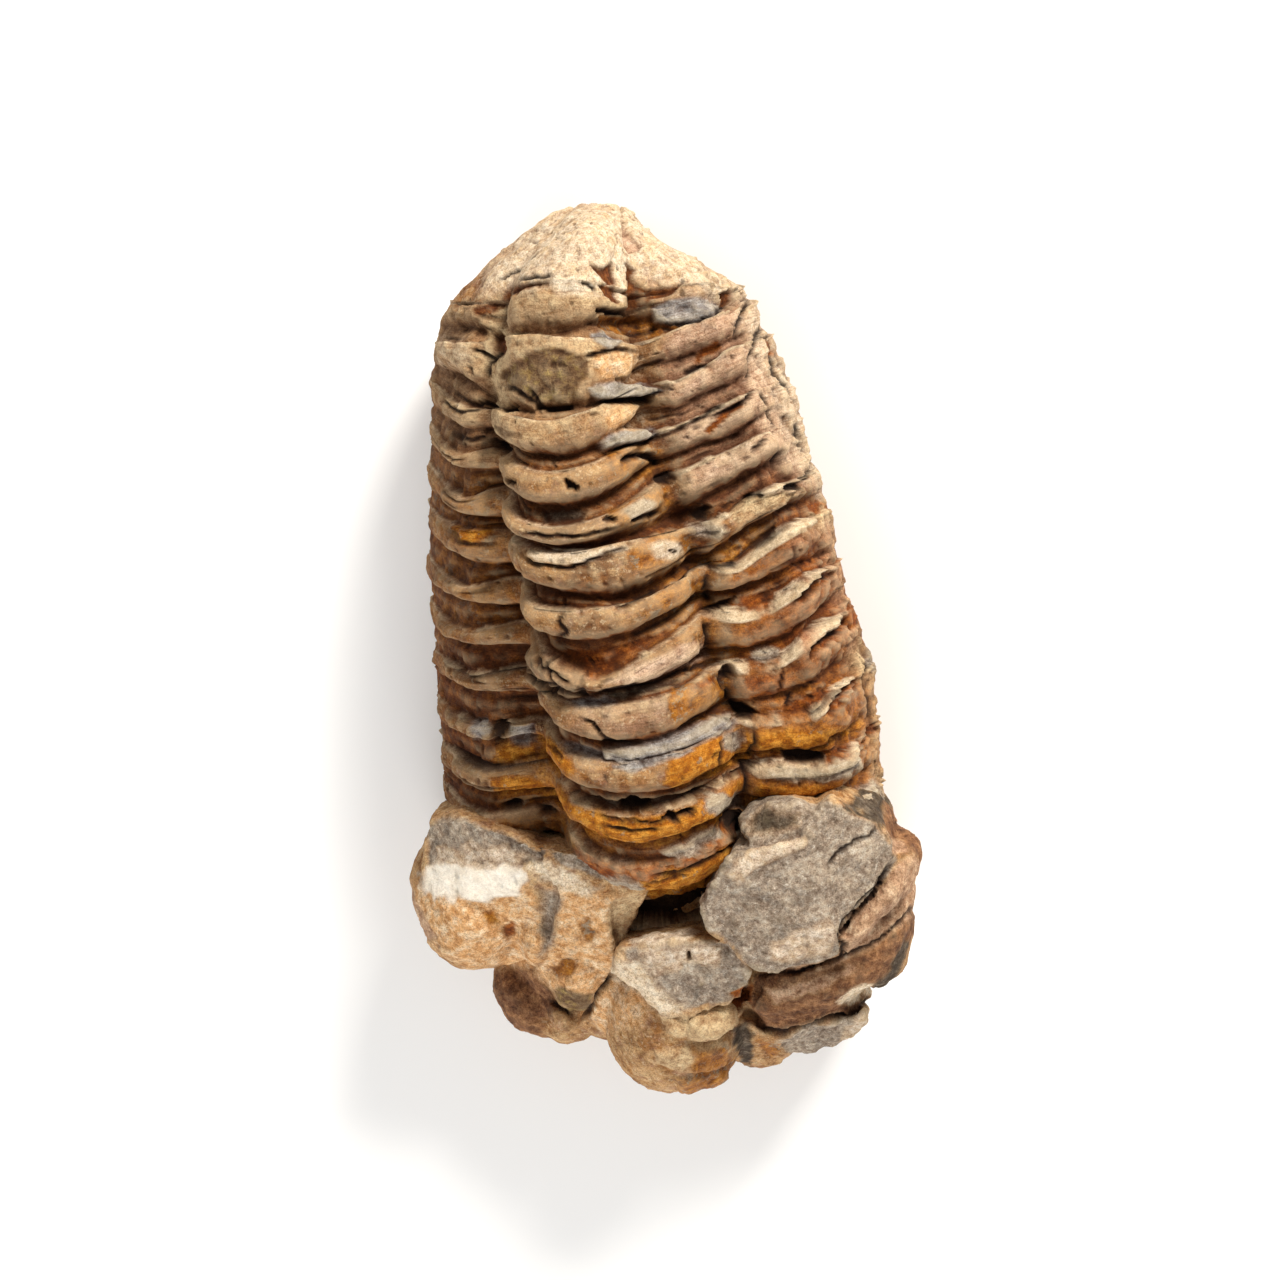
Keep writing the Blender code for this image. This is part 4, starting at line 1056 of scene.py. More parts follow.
def limestone(name, ground):
    """Weathered fossil limestone on four ground colours, with its stains laid over them."""
    material = bpy.data.materials.new(name)
    material.use_nodes = True
    tree = material.node_tree
    shader = tree.nodes["Principled BSDF"]
    place = add_node(tree, "ShaderNodeTexCoord").outputs["Object"]

    def mottling(size, detail, roughness, shift=0.0):
        """The stone's uneven tone, with lumps about the given size in millimetres."""
        moved = add_node(tree, "ShaderNodeMapping", Vector=place, Location=(shift, shift, shift))
        return add_node(
            tree, "ShaderNodeTexNoise", Vector=moved.outputs[0], Scale=1.0 / (size * MM),
            Detail=detail, Roughness=roughness).outputs["Fac"]

    def blotched(stone, size, low, high, strength, shift, colour):
        """Blotches of a colour on the stone, as sharp as low and high are close."""
        tone = mottling(size, BLOTCH_DETAIL, BLOTCH_BREAKUP, shift)
        share = add_node(
            tree, "ShaderNodeMapRange", Value=tone, From_Min=low, From_Max=high, To_Max=strength)
        return add_node(
            tree, "ShaderNodeMix", {"data_type": "RGBA"}, i0=share.outputs[0], i6=stone,
            i7=colour).outputs[2]

    def stained(stone, stain, strength, colour, spared=None):
        """The stone with a stain over it where its skin carries the stain, and not a spared one."""
        carried = add_node(tree, "ShaderNodeAttribute", {"attribute_name": stain}).outputs["Fac"]
        share = add_node(
            tree, "ShaderNodeMath", {"operation": "MULTIPLY", "use_clamp": True}, i0=carried,
            i1=strength).outputs[0]
        if spared:
            kept = add_node(tree, "ShaderNodeAttribute", {"attribute_name": spared})
            share = add_node(
                tree, "ShaderNodeMath", {"operation": "SUBTRACT", "use_clamp": True}, i0=share,
                i1=kept.outputs["Fac"]).outputs[0]
        return add_node(
            tree, "ShaderNodeMix", {"data_type": "RGBA"}, i0=share, i6=stone, i7=colour).outputs[2]

    crumb = mottling(*CRUMB)
    grit = mottling(*GRIT)
    calcite = mottling(*CALCITE)
    stone = add_node(
        tree, "ShaderNodeValToRGB", {"stops": tuple(zip(GROUND_STOPS, ground))},
        Fac=mottling(*GROUND_MOTTLE)).outputs["Color"]
    for blotch in GROUND_BLOTCHES:
        stone = blotched(stone, *blotch)
    for stain, (strength, stops, blotches) in STAINS.items():
        tone = calcite if stain == "grey" else crumb
        colour = add_node(tree, "ShaderNodeValToRGB", {"stops": stops}, Fac=tone).outputs["Color"]
        for blotch in blotches:
            colour = blotched(colour, *blotch)
        stone = stained(stone, stain, strength, colour)

    course = add_node(tree, "ShaderNodeAttribute", {"attribute_name": "course"})
    streaks = add_node(
        tree, "ShaderNodeTexNoise", Scale=1.0, Detail=STREAK_DETAIL, Roughness=STREAK_BREAKUP,
        Vector=course.outputs["Vector"]).outputs["Fac"]
    for tone, (share, stops) in (
        (mottling(*SPECKS), SPECK_SHADE), (grit, GRIT_SHADE), (streaks, STREAK_SHADE),
    ):
        shade = add_node(tree, "ShaderNodeValToRGB", {"stops": stops}, Fac=tone)
        stone = add_node(
            tree, "ShaderNodeMix", {"data_type": "RGBA", "blend_type": "MULTIPLY"}, i0=share,
            i6=stone, i7=shade.outputs["Color"]).outputs[2]
    dirt_and_shade_share = add_node(
        tree, "ShaderNodeMapRange", Value=crumb, From_Min=DIRT_AND_SHADE_THICK[0], To_Min=DIRT_AND_SHADE_THICK[1],
        From_Max=DIRT_AND_SHADE_THIN[0], To_Max=DIRT_AND_SHADE_THIN[1]).outputs[0]
    stone = stained(stone, "white", *FRESH_WHITE)
    # Proud edges paler: rubbed wear and a painted highlight.
    stone = stained(stone, "proud", *RUBBED_AND_LIT_EDGE, spared="gold")
    # Dirt and painted shade darken the hollows.
    stone = stained(stone, "hollow", dirt_and_shade_share, DIRT_AND_SHADE)
    # Painted shade blackens holes, cracks, pits and splits.
    stone = stained(stone, "dark", *PAINTED_SHADE_BLACK)
    tree.links.new(stone, shader.inputs["Base Color"])

    iron = add_node(tree, "ShaderNodeAttribute", {"attribute_name": "ochre"}).outputs["Fac"]
    roughness = add_node(
        tree, "ShaderNodeMapRange", Value=iron, To_Min=STONE_ROUGHNESS, To_Max=IRON_ROUGHNESS)
    tree.links.new(roughness.outputs[0], shader.inputs["Roughness"])
    shader.inputs["IOR"].default_value = STONE_IOR
    shader.inputs["Specular IOR Level"].default_value = STONE_SPECULAR
    relief = {}
    for (strength, depth), height in (
            (STREAK_RELIEF, streaks), (GRIT_RELIEF, grit), (CRUMB_RELIEF, crumb)):
        bump = add_node(
            tree, "ShaderNodeBump", Strength=strength, Distance=depth * MM, Height=height, **relief)
        relief = {"Normal": bump.outputs[0]}
    tree.links.new(relief["Normal"], shader.inputs["Normal"])
    return material


back = build_back()
back_stone = limestone("weathered_limestone", ("#6E4626", "#8C5E36", "#A67848", "#B88C5A"))
back.data.materials.append(back_stone)
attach(back, "root")
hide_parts("trilobite_fossil")


# The broken head.
# Limestone and grey matrix left by a blow: the left boss and lobe, the brow in the middle, the
# flat grey slab on the right, and the folded brown shell of the right cheek under it.

# Rounded lumps: middle (pixel and height), radii and turn.
HEAD_EGGS = {
    "base": ((672, 918, 9.0), (17.5, 13.0, 11.5), 4.0),
    "left_boss": ((480, 885, 12.0), (6.8, 8.4, 11.0), -5.0),
    "left_lobe": ((588, 938, 12.5), (4.8, 7.4, 9.6), -18.0),
    "valley": ((548, 905, 12.5), (3.4, 5.8, 10.6), -5.0),
    "brow": ((682, 985, 12.5), (7.9, 11.2, 12.0), -15.0),
    "back_lump": ((532, 990, 8.5), (3.7, 5.0, 5.2), 25.0),
    "back_fill": ((570, 985, 8.5), (4.5, 5.8, 6.5), 0.0),
    "right_cheek": ((850, 905, 12.5), (6.4, 8.6, 10.3), 10.0),
    "cheek_middle": ((806, 952, 12.0), (8.4, 6.4, 11.0), 18.0),
    "cheek_fold": ((808, 985, 10.5), (6.8, 4.6, 9.5), 22.0),
}
# Folds standing on them: top (pixel and height), radii and turn.
HEAD_ROLLS = {
    "small_lobe": ((561, 1022, 19.0), (2.2, 2.4, 5.0), 0.0),
    "brow_fold_upper": ((708, 1028, 25.2), (3.4, 1.9, 4.0), 14.0),
    "brow_fold_middle": ((690, 1061, 22.0), (4.2, 1.7, 4.0), 10.0),
    "brow_fold_lower": ((704, 1079, 18.4), (3.2, 1.4, 4.0), 16.0),
}
# The two folds of the right cheek's shell: pixel, height and half width along each one's top.
HEAD_BANDS = {
    "cheek_rim": ((896, 872, 24.2, 2.2), (889, 894, 25.2, 2.3), (875, 912, 26.0, 2.1),
        (857, 932, 26.6, 1.8), (841, 949, 26.6, 1.5), (806, 964, 26.2, 1.2),
        (772, 970, 25.8, 1.2)),
    "cheek_band": ((897, 912, 19.8, 1.6), (890, 934, 20.6, 2.0), (874, 957, 21.4, 2.4),
        (852, 977, 22.2, 2.8), (820, 994, 22.6, 3.1), (784, 1002, 22.4, 3.1),
        (766, 1004, 22.0, 2.8)),
}
BAND_HEIGHT = 6.0
BAND_STEPS = 5
# Broken blocks: depth, spread of the foot, and the corners of the top (pixel and height).
HEAD_BLOCKS = {
    "boss_front": (9.0, 0.9, (426, 893, 19.6), (466, 900, 22.8), (514, 897, 24.4),
        (533, 889, 25.3), (543, 903, 24.6), (541, 930, 22.4), (538, 956, 18.8), (511, 965, 16.8),
        (479, 961, 15.6), (453, 951, 14.8), (434, 937, 15.0), (421, 909, 17.0)),
    "valley_fill": (8.0, 0.9, (530, 886, 24.8), (545, 866, 26.5), (563, 886, 25.8),
        (561, 925, 23.3), (553, 955, 20.5), (543, 980, 17.8), (532, 966, 17.0), (532, 930, 20.6)),
    "boss_break": (9.0, 0.95, (429, 824, 20.5), (458, 818, 23.5), (479, 828, 25.0),
        (506, 834, 26.2), (533, 846, 26.8), (545, 862, 26.8), (530, 888, 25.6), (514, 897, 24.6),
        (466, 900, 23.0), (424, 893, 19.8), (419, 868, 19.8)),
    "lobe_top": (8.0, 0.8, (527, 847, 27.0), (548, 847, 27.6), (570, 856, 28.0), (612, 864, 28.5),
        (638, 875, 28.4), (657, 881, 28.0), (640, 895, 27.6), (609, 907, 26.8), (575, 905, 26.8),
        (559, 892, 26.8)),
    "lobe_body": (10.0, 0.8, (559, 888, 26.9), (609, 907, 26.7), (612, 930, 25.5),
        (614, 960, 22.8), (608, 978, 20.8), (598, 995, 18.5), (588, 1012, 15.5), (572, 1012, 14.8),
        (552, 992, 17.0), (541, 968, 20.0), (548, 940, 23.5), (556, 910, 25.8)),
    "lobe_edge": (10.0, 0.7, (609, 905, 26.8), (657, 881, 28.0), (640, 897, 26.3),
        (628, 918, 24.3), (622, 938, 22.8), (612, 948, 22.0)),
    "brow_break": (12.0, 0.9, (620, 949, 27.0), (650, 944, 27.8), (691, 941, 28.2),
        (713, 941, 28.2), (731, 946, 27.8), (744, 962, 27.2), (750, 970, 26.8), (742, 997, 25.6),
        (729, 1003, 25.2), (690, 1014, 25.0), (665, 1014, 24.8), (652, 999, 25.6),
        (630, 981, 26.0), (612, 973, 25.6)),
    "slab_left": (16.0, 0.93, (699, 907, 29.4), (713, 880, 30.2), (735, 852, 30.5),
        (800, 842, 30.4), (842, 936, 28.8), (842, 949, 28.0), (836, 960, 27.2), (797, 969, 27.6),
        (771, 971, 27.8), (750, 965, 28.0), (734, 944, 28.5), (707, 930, 29.0)),
    "slab_right": (14.0, 0.93, (800, 842, 30.3), (805, 830, 29.6), (813, 814, 28.6),
        (824, 805, 27.9), (830, 798, 27.4), (845, 809, 27.2), (872, 822, 26.3), (888, 840, 25.6),
        (895, 859, 25.2), (889, 870, 25.4), (866, 900, 26.6), (845, 926, 28.0), (838, 937, 28.7),
        (790, 925, 29.2)),
    "slab_back": (14.0, 0.95, (744, 815, 26.6), (770, 805, 27.2), (808, 810, 28.2),
        (814, 826, 28.8), (802, 842, 29.8), (748, 842, 29.6), (742, 830, 28.0)),
    "front_matrix": (9.0, 0.9, (776, 1042, 15.0), (813, 1028, 17.0), (864, 1010, 17.5),
        (866, 1022, 16.0), (850, 1039, 14.5), (835, 1050, 13.0), (808, 1056, 12.5),
        (787, 1052, 13.0)),
    "side_matrix": (8.0, 0.9, (899, 938, 14.5), (901, 945, 13.5), (896, 962, 13.0),
        (886, 986, 13.0), (874, 992, 14.0), (870, 985, 17.0), (885, 970, 18.0), (897, 950, 17.5)),
    "middle_lump": (7.0, 0.9, (731, 1028, 17.0), (745, 1020, 19.0), (760, 1028, 19.0),
        (776, 1042, 16.5), (792, 1055, 13.0), (782, 1064, 11.0), (760, 1070, 10.5),
        (744, 1068, 11.0), (734, 1060, 12.5)),
}


def build_lump(middle, radii, turn):
    """A rounded lump of the head round a point given in millimetres."""
    bm = bmesh.new()
    bmesh.ops.create_icosphere(bm, subdivisions=4, radius=1.0)
    bmesh.ops.scale(bm, vec=Vector(radii), verts=bm.verts)
    bmesh.ops.rotate(bm, matrix=Matrix.Rotation(math.radians(turn), 3, "Z"), verts=bm.verts)
    bmesh.ops.translate(bm, vec=Vector(middle), verts=bm.verts)
    return bm


def build_roll(top, radii, turn):
    """A fold of the head, given by its top."""
    return build_lump(seen_at(*top) - np.array((0.0, 0.0, radii[2])), radii, turn)


def build_band(path):
    """A long fold of the head, as a row of lumps along its top."""
    path = np.array(path)
    lumps_along = []
    for place in np.linspace(0.0, len(path) - 1.001, BAND_STEPS * (len(path) - 1) + 1):
        knot = int(place)
        px, py, height, half_width = path[knot] + (place - knot) * (path[knot + 1] - path[knot])
        radii = (half_width, half_width, BAND_HEIGHT)
        lumps_along.append(build_roll((px, py, height), radii, 0.0))
    return lumps_along


def build_block(depth, spread, *corners):
    """One broken block of the head: the stone between its top corners and its foot."""
    top = np.array([seen_at(*corner) for corner in corners])
    middle = top.mean(axis=0)
    foot = middle + spread * (top - middle) - np.array((0.0, 0.0, depth))
    bm = bmesh.new()
    for point in np.concatenate((top, foot)):
        bm.verts.new(point)
    bmesh.ops.convex_hull(bm, input=bm.verts)
    bmesh.ops.recalc_face_normals(bm, faces=bm.faces)
    return bm


# The lumps become one skin on a grain of this many millimetres, rubbed smooth once.
HEAD_GRAIN = 0.31


def head_skin():
    """One closed skin round all the lumps: points, normals, edges' ends and faces."""
    whole = bmesh.new()
    stones = [build_lump(seen_at(*spot), radii, turn) for spot, radii, turn in HEAD_EGGS.values()]
    stones += [build_roll(*roll) for roll in HEAD_ROLLS.values()]
    stones += [lump for path in HEAD_BANDS.values() for lump in build_band(path)]
    stones += [build_block(*block) for block in HEAD_BLOCKS.values()]
    for bm in stones:
        part = bpy.data.meshes.new("lump")
        bm.to_mesh(part)
        bm.free()
        whole.from_mesh(part)
        bpy.data.meshes.remove(part)
    joined = bpy.data.meshes.new("head_lumps")
    whole.to_mesh(joined)
    whole.free()
    heap = bpy.data.objects.new("head_lumps", joined)
    bpy.context.scene.collection.objects.link(heap)
    remesh = heap.modifiers.new("one_skin", "REMESH")
    remesh.mode = "VOXEL"
    remesh.voxel_size = HEAD_GRAIN
    rubbed = heap.modifiers.new("rubbed", "SMOOTH")
    rubbed.factor = 0.5
    rubbed.iterations = 1
    bpy.context.view_layer.update()
    evaluated = heap.evaluated_get(bpy.context.evaluated_depsgraph_get())
    skin = bpy.data.meshes.new_from_object(evaluated)
    bpy.data.objects.remove(heap)
    bpy.data.meshes.remove(joined)
    points = np.empty(len(skin.vertices) * 3)
    skin.vertices.foreach_get("co", points)
    normals = np.empty(len(skin.vertices) * 3, np.float32)
    skin.vertex_normals.foreach_get("vector", normals)
    ends = np.empty(len(skin.edges) * 2, np.int64)
    skin.edges.foreach_get("vertices", ends)
    faces = [tuple(face.vertices) for face in skin.polygons]
    bpy.data.meshes.remove(skin)
    return points.reshape(-1, 3), normals.reshape(-1, 3), ends.reshape(-1, 2), faces


OWN_SHARE = 0.3


def evened(values, ends, rounds):
    """Values averaged with those of the neighbouring points, the given number of times."""
    count = len(values)
    links = np.bincount(ends[:, 0], minlength=count) + np.bincount(ends[:, 1], minlength=count)
    for _ in range(rounds):
        total = np.bincount(ends[:, 0], weights=values[ends[:, 1]], minlength=count)
        total += np.bincount(ends[:, 1], weights=values[ends[:, 0]], minlength=count)
        values = OWN_SHARE * values + (1.0 - OWN_SHARE) * total / np.maximum(links, 1)
    return values


# Breaks, shell and matrix on the head, in the order that they lie on one another, as on the back.
HEAD_PATCHES = (
    # Sandy yellow over the fronts of boss, lobe and brow, partly their own colour and partly
    # painted light; dim brown on the lumps behind them, painted shadow.
    (0.00, 0.60, 0.8, "sand", ((412, 880), (440, 885), (530, 885), (542, 920), (545, 962),
        (511, 972), (470, 968), (440, 950), (420, 925))),
    (0.00, 0.60, 0.8, "sand", ((548, 880), (612, 890), (625, 900), (612, 940), (612, 990),
        (590, 1020), (562, 1015), (535, 970), (560, 930))),
    (0.00, 0.60, 0.8, "sand", ((590, 965), (620, 955), (640, 985), (656, 1006), (646, 1026),
        (612, 1032), (584, 1020))),
    (0.00, 0.60, 0.8, "bark", ((490, 965), (536, 968), (556, 1002), (545, 1024), (552, 1056),
        (520, 1040), (490, 1010))),
    # Left boss: grey break, white break, orange spot, thin shell down its left side.
    (0.45, 0.15, 0.5, "grey", ((426, 824), (458, 815), (479, 826), (506, 832), (535, 845),
        (546, 850), (540, 862), (522, 866), (500, 866), (479, 864), (453, 860), (428, 866))),
    (0.00, 0.40, 1.0, "white", ((420, 877), (428, 868), (453, 861), (479, 865), (506, 866),
        (524, 869), (531, 880), (522, 890), (514, 896), (487, 899), (466, 899), (440, 896),
        (424, 893))),
    (-0.05, 0.30, 1.2, "pale", ((436, 850), (470, 846), (500, 852), (530, 856), (520, 866),
        (480, 864), (440, 862))),
    (0.10, 0.25, 0.4, "rust", ((503, 924), (511, 922), (515, 932), (509, 937), (503, 934))),
    (0.00, 0.40, 0.5, "gold", ((484, 914), (496, 911), (500, 920), (488, 924))),
    (0.25, 0.20, 0.3, "shell", ((417, 850), (412, 880), (418, 905), (430, 930), (436, 940),
        (422, 940), (404, 900), (404, 860))),
    # The valley between boss and lobe.
    (0.00, 0.80, 0.8, "grey", ((546, 888), (555, 891), (559, 908), (553, 928), (549, 949),
        (542, 952), (542, 922), (543, 904))),
    # The lobe: pale top, orange band, olive scoop at its point, grey foot.
    (0.00, 0.30, 0.6, "grey", ((548, 846), (580, 856), (612, 863), (640, 874), (650, 881),
        (630, 886), (606, 880), (580, 872), (556, 862))),
    (0.00, 0.40, 0.6, "cream", ((520, 860), (545, 862), (575, 876), (596, 890), (580, 898),
        (556, 884), (536, 876))),
    (0.15, 0.30, 1.0, "ochre", ((576, 926), (588, 918), (598, 932), (594, 944), (580, 940))),
    (0.15, 0.30, 1.0, "ochre", ((549, 966), (566, 958), (580, 964), (574, 980), (558, 982))),
    (0.30, 0.30, 0.4, "tan", ((609, 906), (628, 896), (644, 895), (636, 908), (628, 920),
        (620, 938), (610, 936), (607, 920))),
    (0.00, 0.30, 0.6, "olive", ((552, 992), (570, 990), (592, 990), (590, 1008), (572, 1014),
        (556, 1004))),
    # The brow: blue-grey break with a white rim, orange front, brown folds at its right.
    (0.00, 0.20, 0.4, "grey", ((624, 950), (650, 946), (691, 941), (713, 941), (731, 946),
        (744, 962), (750, 972), (744, 990), (729, 1001), (700, 1006), (680, 1010), (662, 1004),
        (650, 992), (632, 974))),
    (0.00, 0.60, 0.5, "cream", ((616, 960), (640, 962), (660, 984), (676, 1000), (690, 1008),
        (668, 1016), (652, 1006), (630, 988), (610, 974))),
    (-0.05, 0.40, 1.2, "pale", ((640, 952), (700, 944), (720, 950), (715, 966), (690, 962),
        (650, 970))),
    (0.10, 0.40, 1.0, "sand", ((602, 1000), (618, 992), (636, 1004), (640, 1016), (618, 1022))),
    (-0.50, 0.30, 0.4, "tan", ((660, 1012), (690, 1014), (729, 1003), (738, 1006), (736, 1022),
        (716, 1036), (690, 1040), (668, 1032))),
    (-0.50, 0.30, 0.4, "tan", ((655, 1050), (690, 1048), (726, 1036), (732, 1046), (724, 1062),
        (700, 1072), (672, 1070), (656, 1062))),
    (0.00, 0.50, 1.2, "ochre", ((694, 1050), (728, 1040), (732, 1066), (712, 1084), (690, 1078))),
    (-0.50, 0.22, 0.4, "ochre", ((676, 1078), (700, 1076), (724, 1066), (726, 1076), (712, 1090),
        (692, 1094), (678, 1090))),
    # A small hole with painted shade in it.
    (0.70, 0.12, 0.1, "dark", ((687, 952), (691, 952), (692, 959), (688, 959))),
    (0.30, 0.20, 0.5, "rust", ((730, 992), (752, 984), (762, 992), (752, 1006), (736, 1008))),
    # Dim matrix behind the slab, and the slab with its white ridge.
    (0.00, 0.40, 0.8, "slate", ((842, 806), (862, 790), (890, 796), (908, 838), (893, 843),
        (878, 826), (860, 814))),
    (0.00, 0.20, 0.4, "grey", ((697, 907), (709, 880), (722, 859), (734, 843), (734, 806),
        (770, 796), (808, 803), (818, 806), (829, 797), (845, 808), (872, 821), (888, 839),
        (896, 859), (889, 870), (866, 900), (845, 926), (840, 936), (843, 949), (835, 961),
        (797, 970), (771, 972), (750, 966), (734, 945), (707, 931))),
    (-0.35, 0.25, 0.6, "pale", ((728, 876), (738, 858), (760, 848), (790, 842), (806, 838),
        (804, 848), (780, 856), (752, 868), (736, 884))),
    (-0.05, 0.40, 0.6, "pale", ((770, 940), (800, 930), (830, 920), (836, 940), (826, 952),
        (790, 960), (772, 956))),
    (0.10, 0.50, 1.0, "slate", ((746, 822), (770, 812), (796, 816), (800, 828), (780, 833),
        (752, 833))),
    # The right cheek's shell, its white patch, and the matrix round it.
    (0.00, 0.20, 0.3, "bark", ((903, 890), (870, 935), (840, 955), (798, 968), (756, 972),
        (748, 1000), (756, 1028), (782, 1038), (813, 1028), (848, 1015), (874, 992), (890, 974),
        (906, 949), (932, 905), (932, 880))),
    (0.00, 0.25, 0.3, "shell", ((896, 862), (890, 872), (866, 902), (846, 928), (842, 938),
        (846, 950), (838, 962), (800, 968), (800, 975), (838, 966), (856, 956), (880, 943),
        (905, 924), (922, 905), (934, 880), (914, 856))),
    (0.00, 0.40, 0.8, "shell", ((760, 988), (800, 982), (850, 962), (862, 966), (820, 992),
        (775, 1006))),
    (0.00, 0.30, 0.5, "bark", ((884, 800), (910, 826), (936, 850), (940, 890), (932, 880),
        (914, 856), (900, 858), (896, 846), (886, 826))),
    (0.15, 0.15, 0.4, "shell", ((893, 854), (890, 836), (903, 840), (911, 854))),
    (0.05, 0.20, 0.3, "cream", ((836, 1004), (850, 990), (862, 983), (874, 982), (868, 994),
        (852, 1006))),
    (0.00, 0.25, 0.5, "grey", ((776, 1042), (813, 1029), (850, 1015), (868, 1008), (868, 1024),
        (850, 1041), (835, 1052), (808, 1058), (786, 1054))),
    (0.00, 0.20, 0.4, "pale", ((846, 1026), (862, 1014), (868, 1020), (852, 1038), (840, 1042))),
    (0.00, 0.25, 0.5, "slate", ((903, 936), (908, 945), (900, 964), (888, 988), (874, 992),
        (872, 984), (886, 970), (896, 950))),
    (0.00, 0.25, 0.6, "slate", ((731, 1028), (745, 1022), (754, 1032), (752, 1066), (740, 1064))),
    (0.10, 0.25, 0.8, "ochre", ((758, 1036), (774, 1044), (780, 1054), (770, 1062), (762, 1052))),
    # The pale splinter over the brow.
    (-0.10, 0.15, 0.3, "pale", ((630, 944), (655, 934), (697, 928), (702, 934), (682, 943),
        (640, 950))),
)
# Cracks over the head, painted near black as shade: width and depth in millimetres, and the path in
# pixels.
HEAD_CRACKS = (
    (0.25, 0.7, ((612, 975), (606, 985), (598, 996), (591, 1010), (584, 1020))),
    (0.12, 0.5, ((895, 862), (888, 872), (866, 901), (846, 926), (841, 937), (846, 948),
        (838, 961), (798, 971), (770, 974), (756, 975))),
    (0.14, 0.4, ((919, 903), (903, 922), (877, 941), (850, 955), (837, 962), (797, 971))),
    (0.22, 0.7, ((758, 1026), (770, 1031), (782, 1036), (813, 1026), (848, 1013), (866, 1002),
        (876, 990))),
    (0.10, 0.3, ((880, 826), (868, 836), (856, 840), (846, 846), (836, 856), (826, 868))),
    (0.14, 0.5, ((545, 1000), (560, 1008), (575, 1016))),
)
# Patches fade out where the stone turns away from the sight. There it is rounder, so its broad
# lumps are higher: share of the sight's direction, then heights in millimetres.
TURNED_AWAY = (-0.35, 0.10)
UNSEEN = (-0.4, 0.2)
BROAD_GRAIN, BROAD_UNSEEN, BROAD_LESS_SEEN = 4.5, 1.3, 0.75
WEATHER_SHARE = 0.6
# Broken faces are rougher: height, grain, seed and layers.
BREAKS = ("grey", "cream", "ochre", "pale")
BREAK_ROUGHNESS = ((0.42, 2.2, 207, 3), (0.20, 0.8, 211, 2))
PITTED_SHARE = 0.35
# Dirt with painted shade in hollows, and rubbed edges with a painted highlight, from how far a
# point stands out from the evened skin.
EVENING_ROUNDS = 10
HOLLOW_DEPTH, HOLLOW_START = 0.38, 0.15
EDGE_HEIGHT, EDGE_START = 0.35, 0.2


def build_head():
    """The broken head as one closed skin."""
    points, normals, ends, faces = head_skin()
    toward_eye = normals @ SIGHT[:, 2]
    seen = smooth(*TURNED_AWAY, toward_eye)
    stains = {name: np.zeros(len(points)) for name in STAIN_NAMES}
    lift = np.zeros(len(points))
    patch_stone(points, seen, lift, stains, HEAD_PATCHES)
    crack_stone(points, seen, lift, stains, HEAD_CRACKS)
    broken = np.maximum.reduce([stains[name] for name in BREAKS])
    worn, pitted = weathered(points, points, 0.0)
    broad = BROAD_UNSEEN - BROAD_LESS_SEEN * smooth(*UNSEEN, toward_eye)
    lift += WEATHER_SHARE * worn + broad * crumbly(points, BROAD_GRAIN, 223)
    lift += broken * sum(
        height * crumbly(points, grain, seed, layers)
        for height, grain, seed, layers in BREAK_ROUGHNESS
    )
    # Painted shade in the pits.
    stains["dark"] = np.maximum(stains["dark"], PITTED_SHARE * pitted)
    shape = points + normals * lift[:, None]
    evened_shape = np.stack([evened(shape[:, n], ends, EVENING_ROUNDS) for n in range(3)], axis=1)
    bulge = -((evened_shape - shape) * normals).sum(axis=1)
    # Dirt and painted shade in the hollows.
    stains["hollow"] = np.clip(-bulge / HOLLOW_DEPTH - HOLLOW_START, 0.0, 1.0)
    # Rubbed edges with a painted highlight.
    stains["proud"] = np.clip(bulge / EDGE_HEIGHT - EDGE_START, 0.0, 1.0)
    return stone_skin("broken_head", laid_down(shape), faces, stains, FIBRES_TO_MM * points)


# The same weathered limestone on paler ground than the back's: partly where the blow has laid it
# bare, partly painted light on the head's lit fronts.
head = build_head()
head_stone = limestone("broken_limestone", ("#966E4A", "#B89062", "#CEA878", "#DCBC90"))
head.data.materials.append(head_stone)
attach(head, "root")
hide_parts("trilobite_fossil")


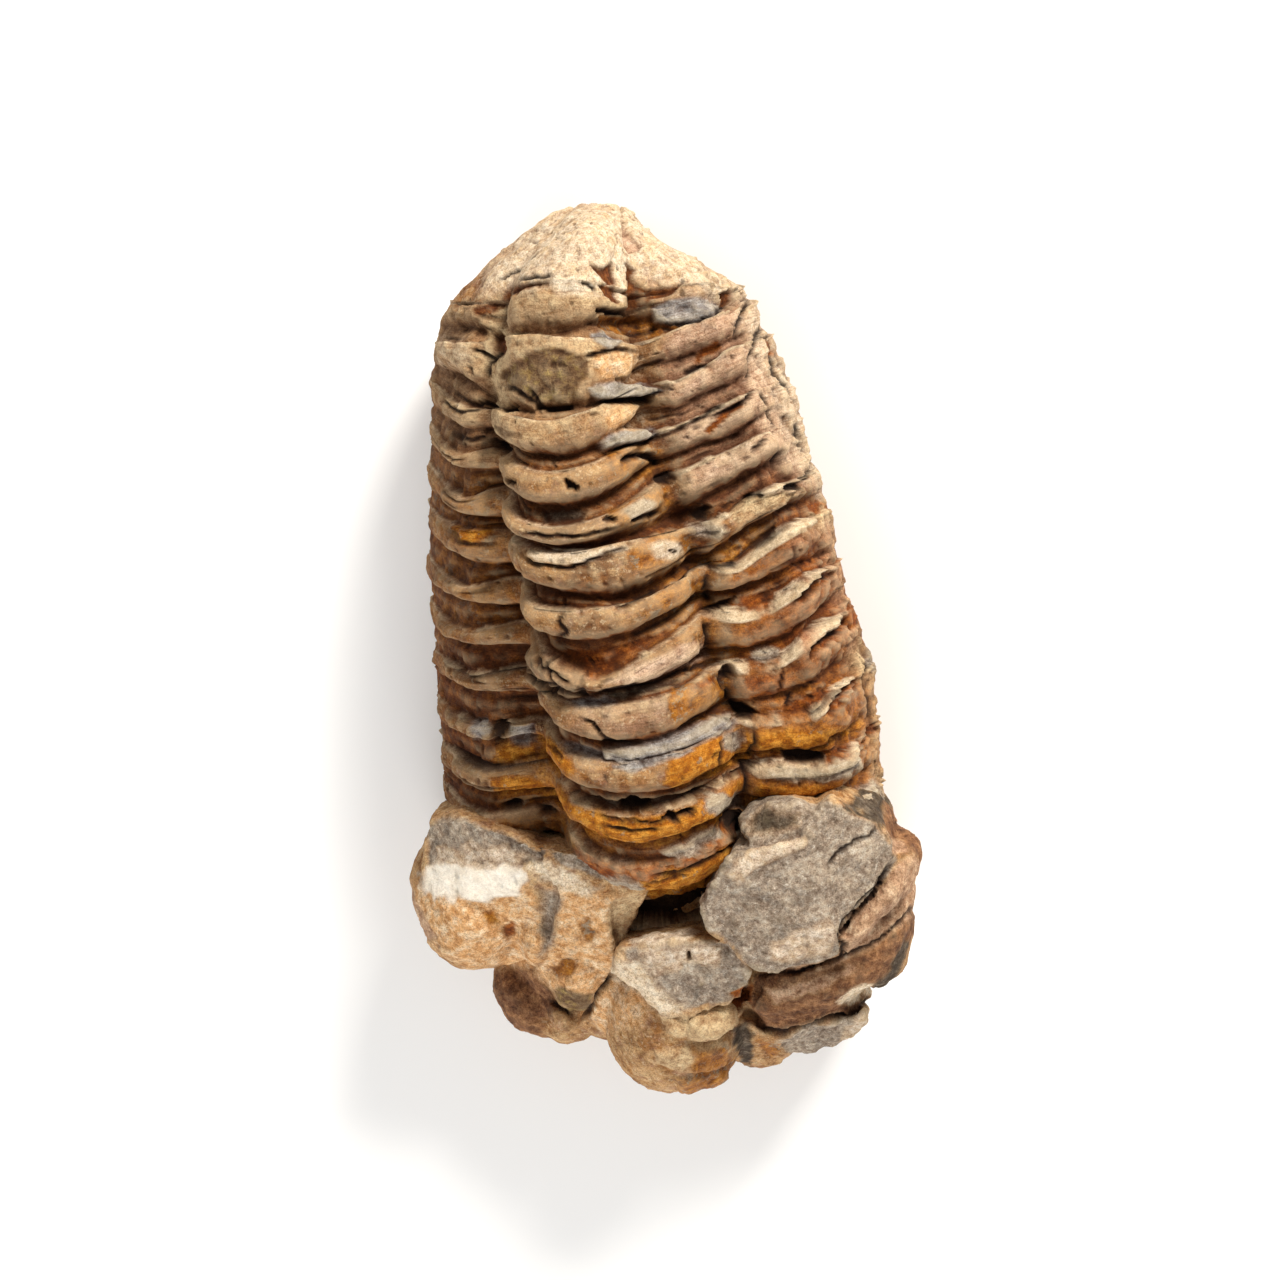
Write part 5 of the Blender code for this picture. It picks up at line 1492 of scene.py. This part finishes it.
# The surface that it lies on.
# A plain pale board, painted matt, big enough to fill the view. Painted wood has a soft, even
# sheen, so its roughness is high and the same all over.
BOARD_HALF = 1.5
BOARD_PALE = "#F4F3F1"
BOARD_ROUGHNESS = 0.8
board_mesh = bpy.data.meshes.new("pale_board")
board_corners = [(-1, -1), (1, -1), (1, 1), (-1, 1)]
board_mesh.from_pydata(
    [(BOARD_HALF * x, BOARD_HALF * y, 0.0) for x, y in board_corners], [], [(0, 1, 2, 3)])
floor = bpy.data.objects.new("pale_board", board_mesh)
bpy.context.scene.collection.objects.link(floor)
matt_paint = bpy.data.materials.new("matt_paint")
matt_paint.use_nodes = True
paint_shader = matt_paint.node_tree.nodes["Principled BSDF"]
paint_shader.inputs["Base Color"].default_value = linear(BOARD_PALE)
paint_shader.inputs["Roughness"].default_value = BOARD_ROUGHNESS
board_mesh.materials.append(matt_paint)


# The light.
# A large soft lamp like a window on the tail's side, a weak wide one opposite, and an even white
# room. Places and sizes are in metres, powers in watts.
def add_lamp(name, place, size, watts, colour):
    """A square soft lamp at a place in metres, turned to the fossil."""
    data = bpy.data.lights.new(name, "AREA")
    data.size = size
    data.energy = watts
    data.color = linear(colour)[:3]
    lamp = bpy.data.objects.new(name, data)
    lamp.location = place
    lamp.rotation_euler = (-Vector(place)).to_track_quat("-Z", "Y").to_euler()
    bpy.context.scene.collection.objects.link(lamp)


add_lamp("window", (0.50, 0.78, 0.52), 0.30, 19.0, "#FFFBF4")
add_lamp("fill", (-0.30, -0.80, 0.55), 0.8, 10.5, "#FFFFFF")

ROOM_LIGHT = 0.42
room = bpy.data.worlds.new("studio")
room.use_nodes = True
room.node_tree.nodes["Background"].inputs["Color"].default_value = linear("#FFFFFF")
room.node_tree.nodes["Background"].inputs["Strength"].default_value = ROOM_LIGHT
bpy.context.scene.world = room
bpy.context.scene.view_settings.view_transform = "Standard"


# The camera.
# It stands on the line of sight that the shapes were placed by, 600 mm from the fossil, with its
# focal length from the same sight. Its sensor is 36 mm wide and all is sharp.
SENSOR_WIDTH = 36.0
PICTURE_PX = 1280.0
NEAREST_SEEN = 0.01
camera_data = bpy.data.cameras.new("view")
camera_data.sensor_width = SENSOR_WIDTH
camera_data.lens = SENSOR_WIDTH * FOCAL_PX / PICTURE_PX
camera_data.clip_start = NEAREST_SEEN
camera = bpy.data.objects.new("view", camera_data)
eye_place = Vector((EYE - np.array((0.0, 0.0, LYING_CUT))) * MM)
camera.matrix_world = Matrix.Translation(eye_place) @ Matrix(SIGHT).to_4x4()
bpy.context.scene.collection.objects.link(camera)
bpy.context.scene.camera = camera
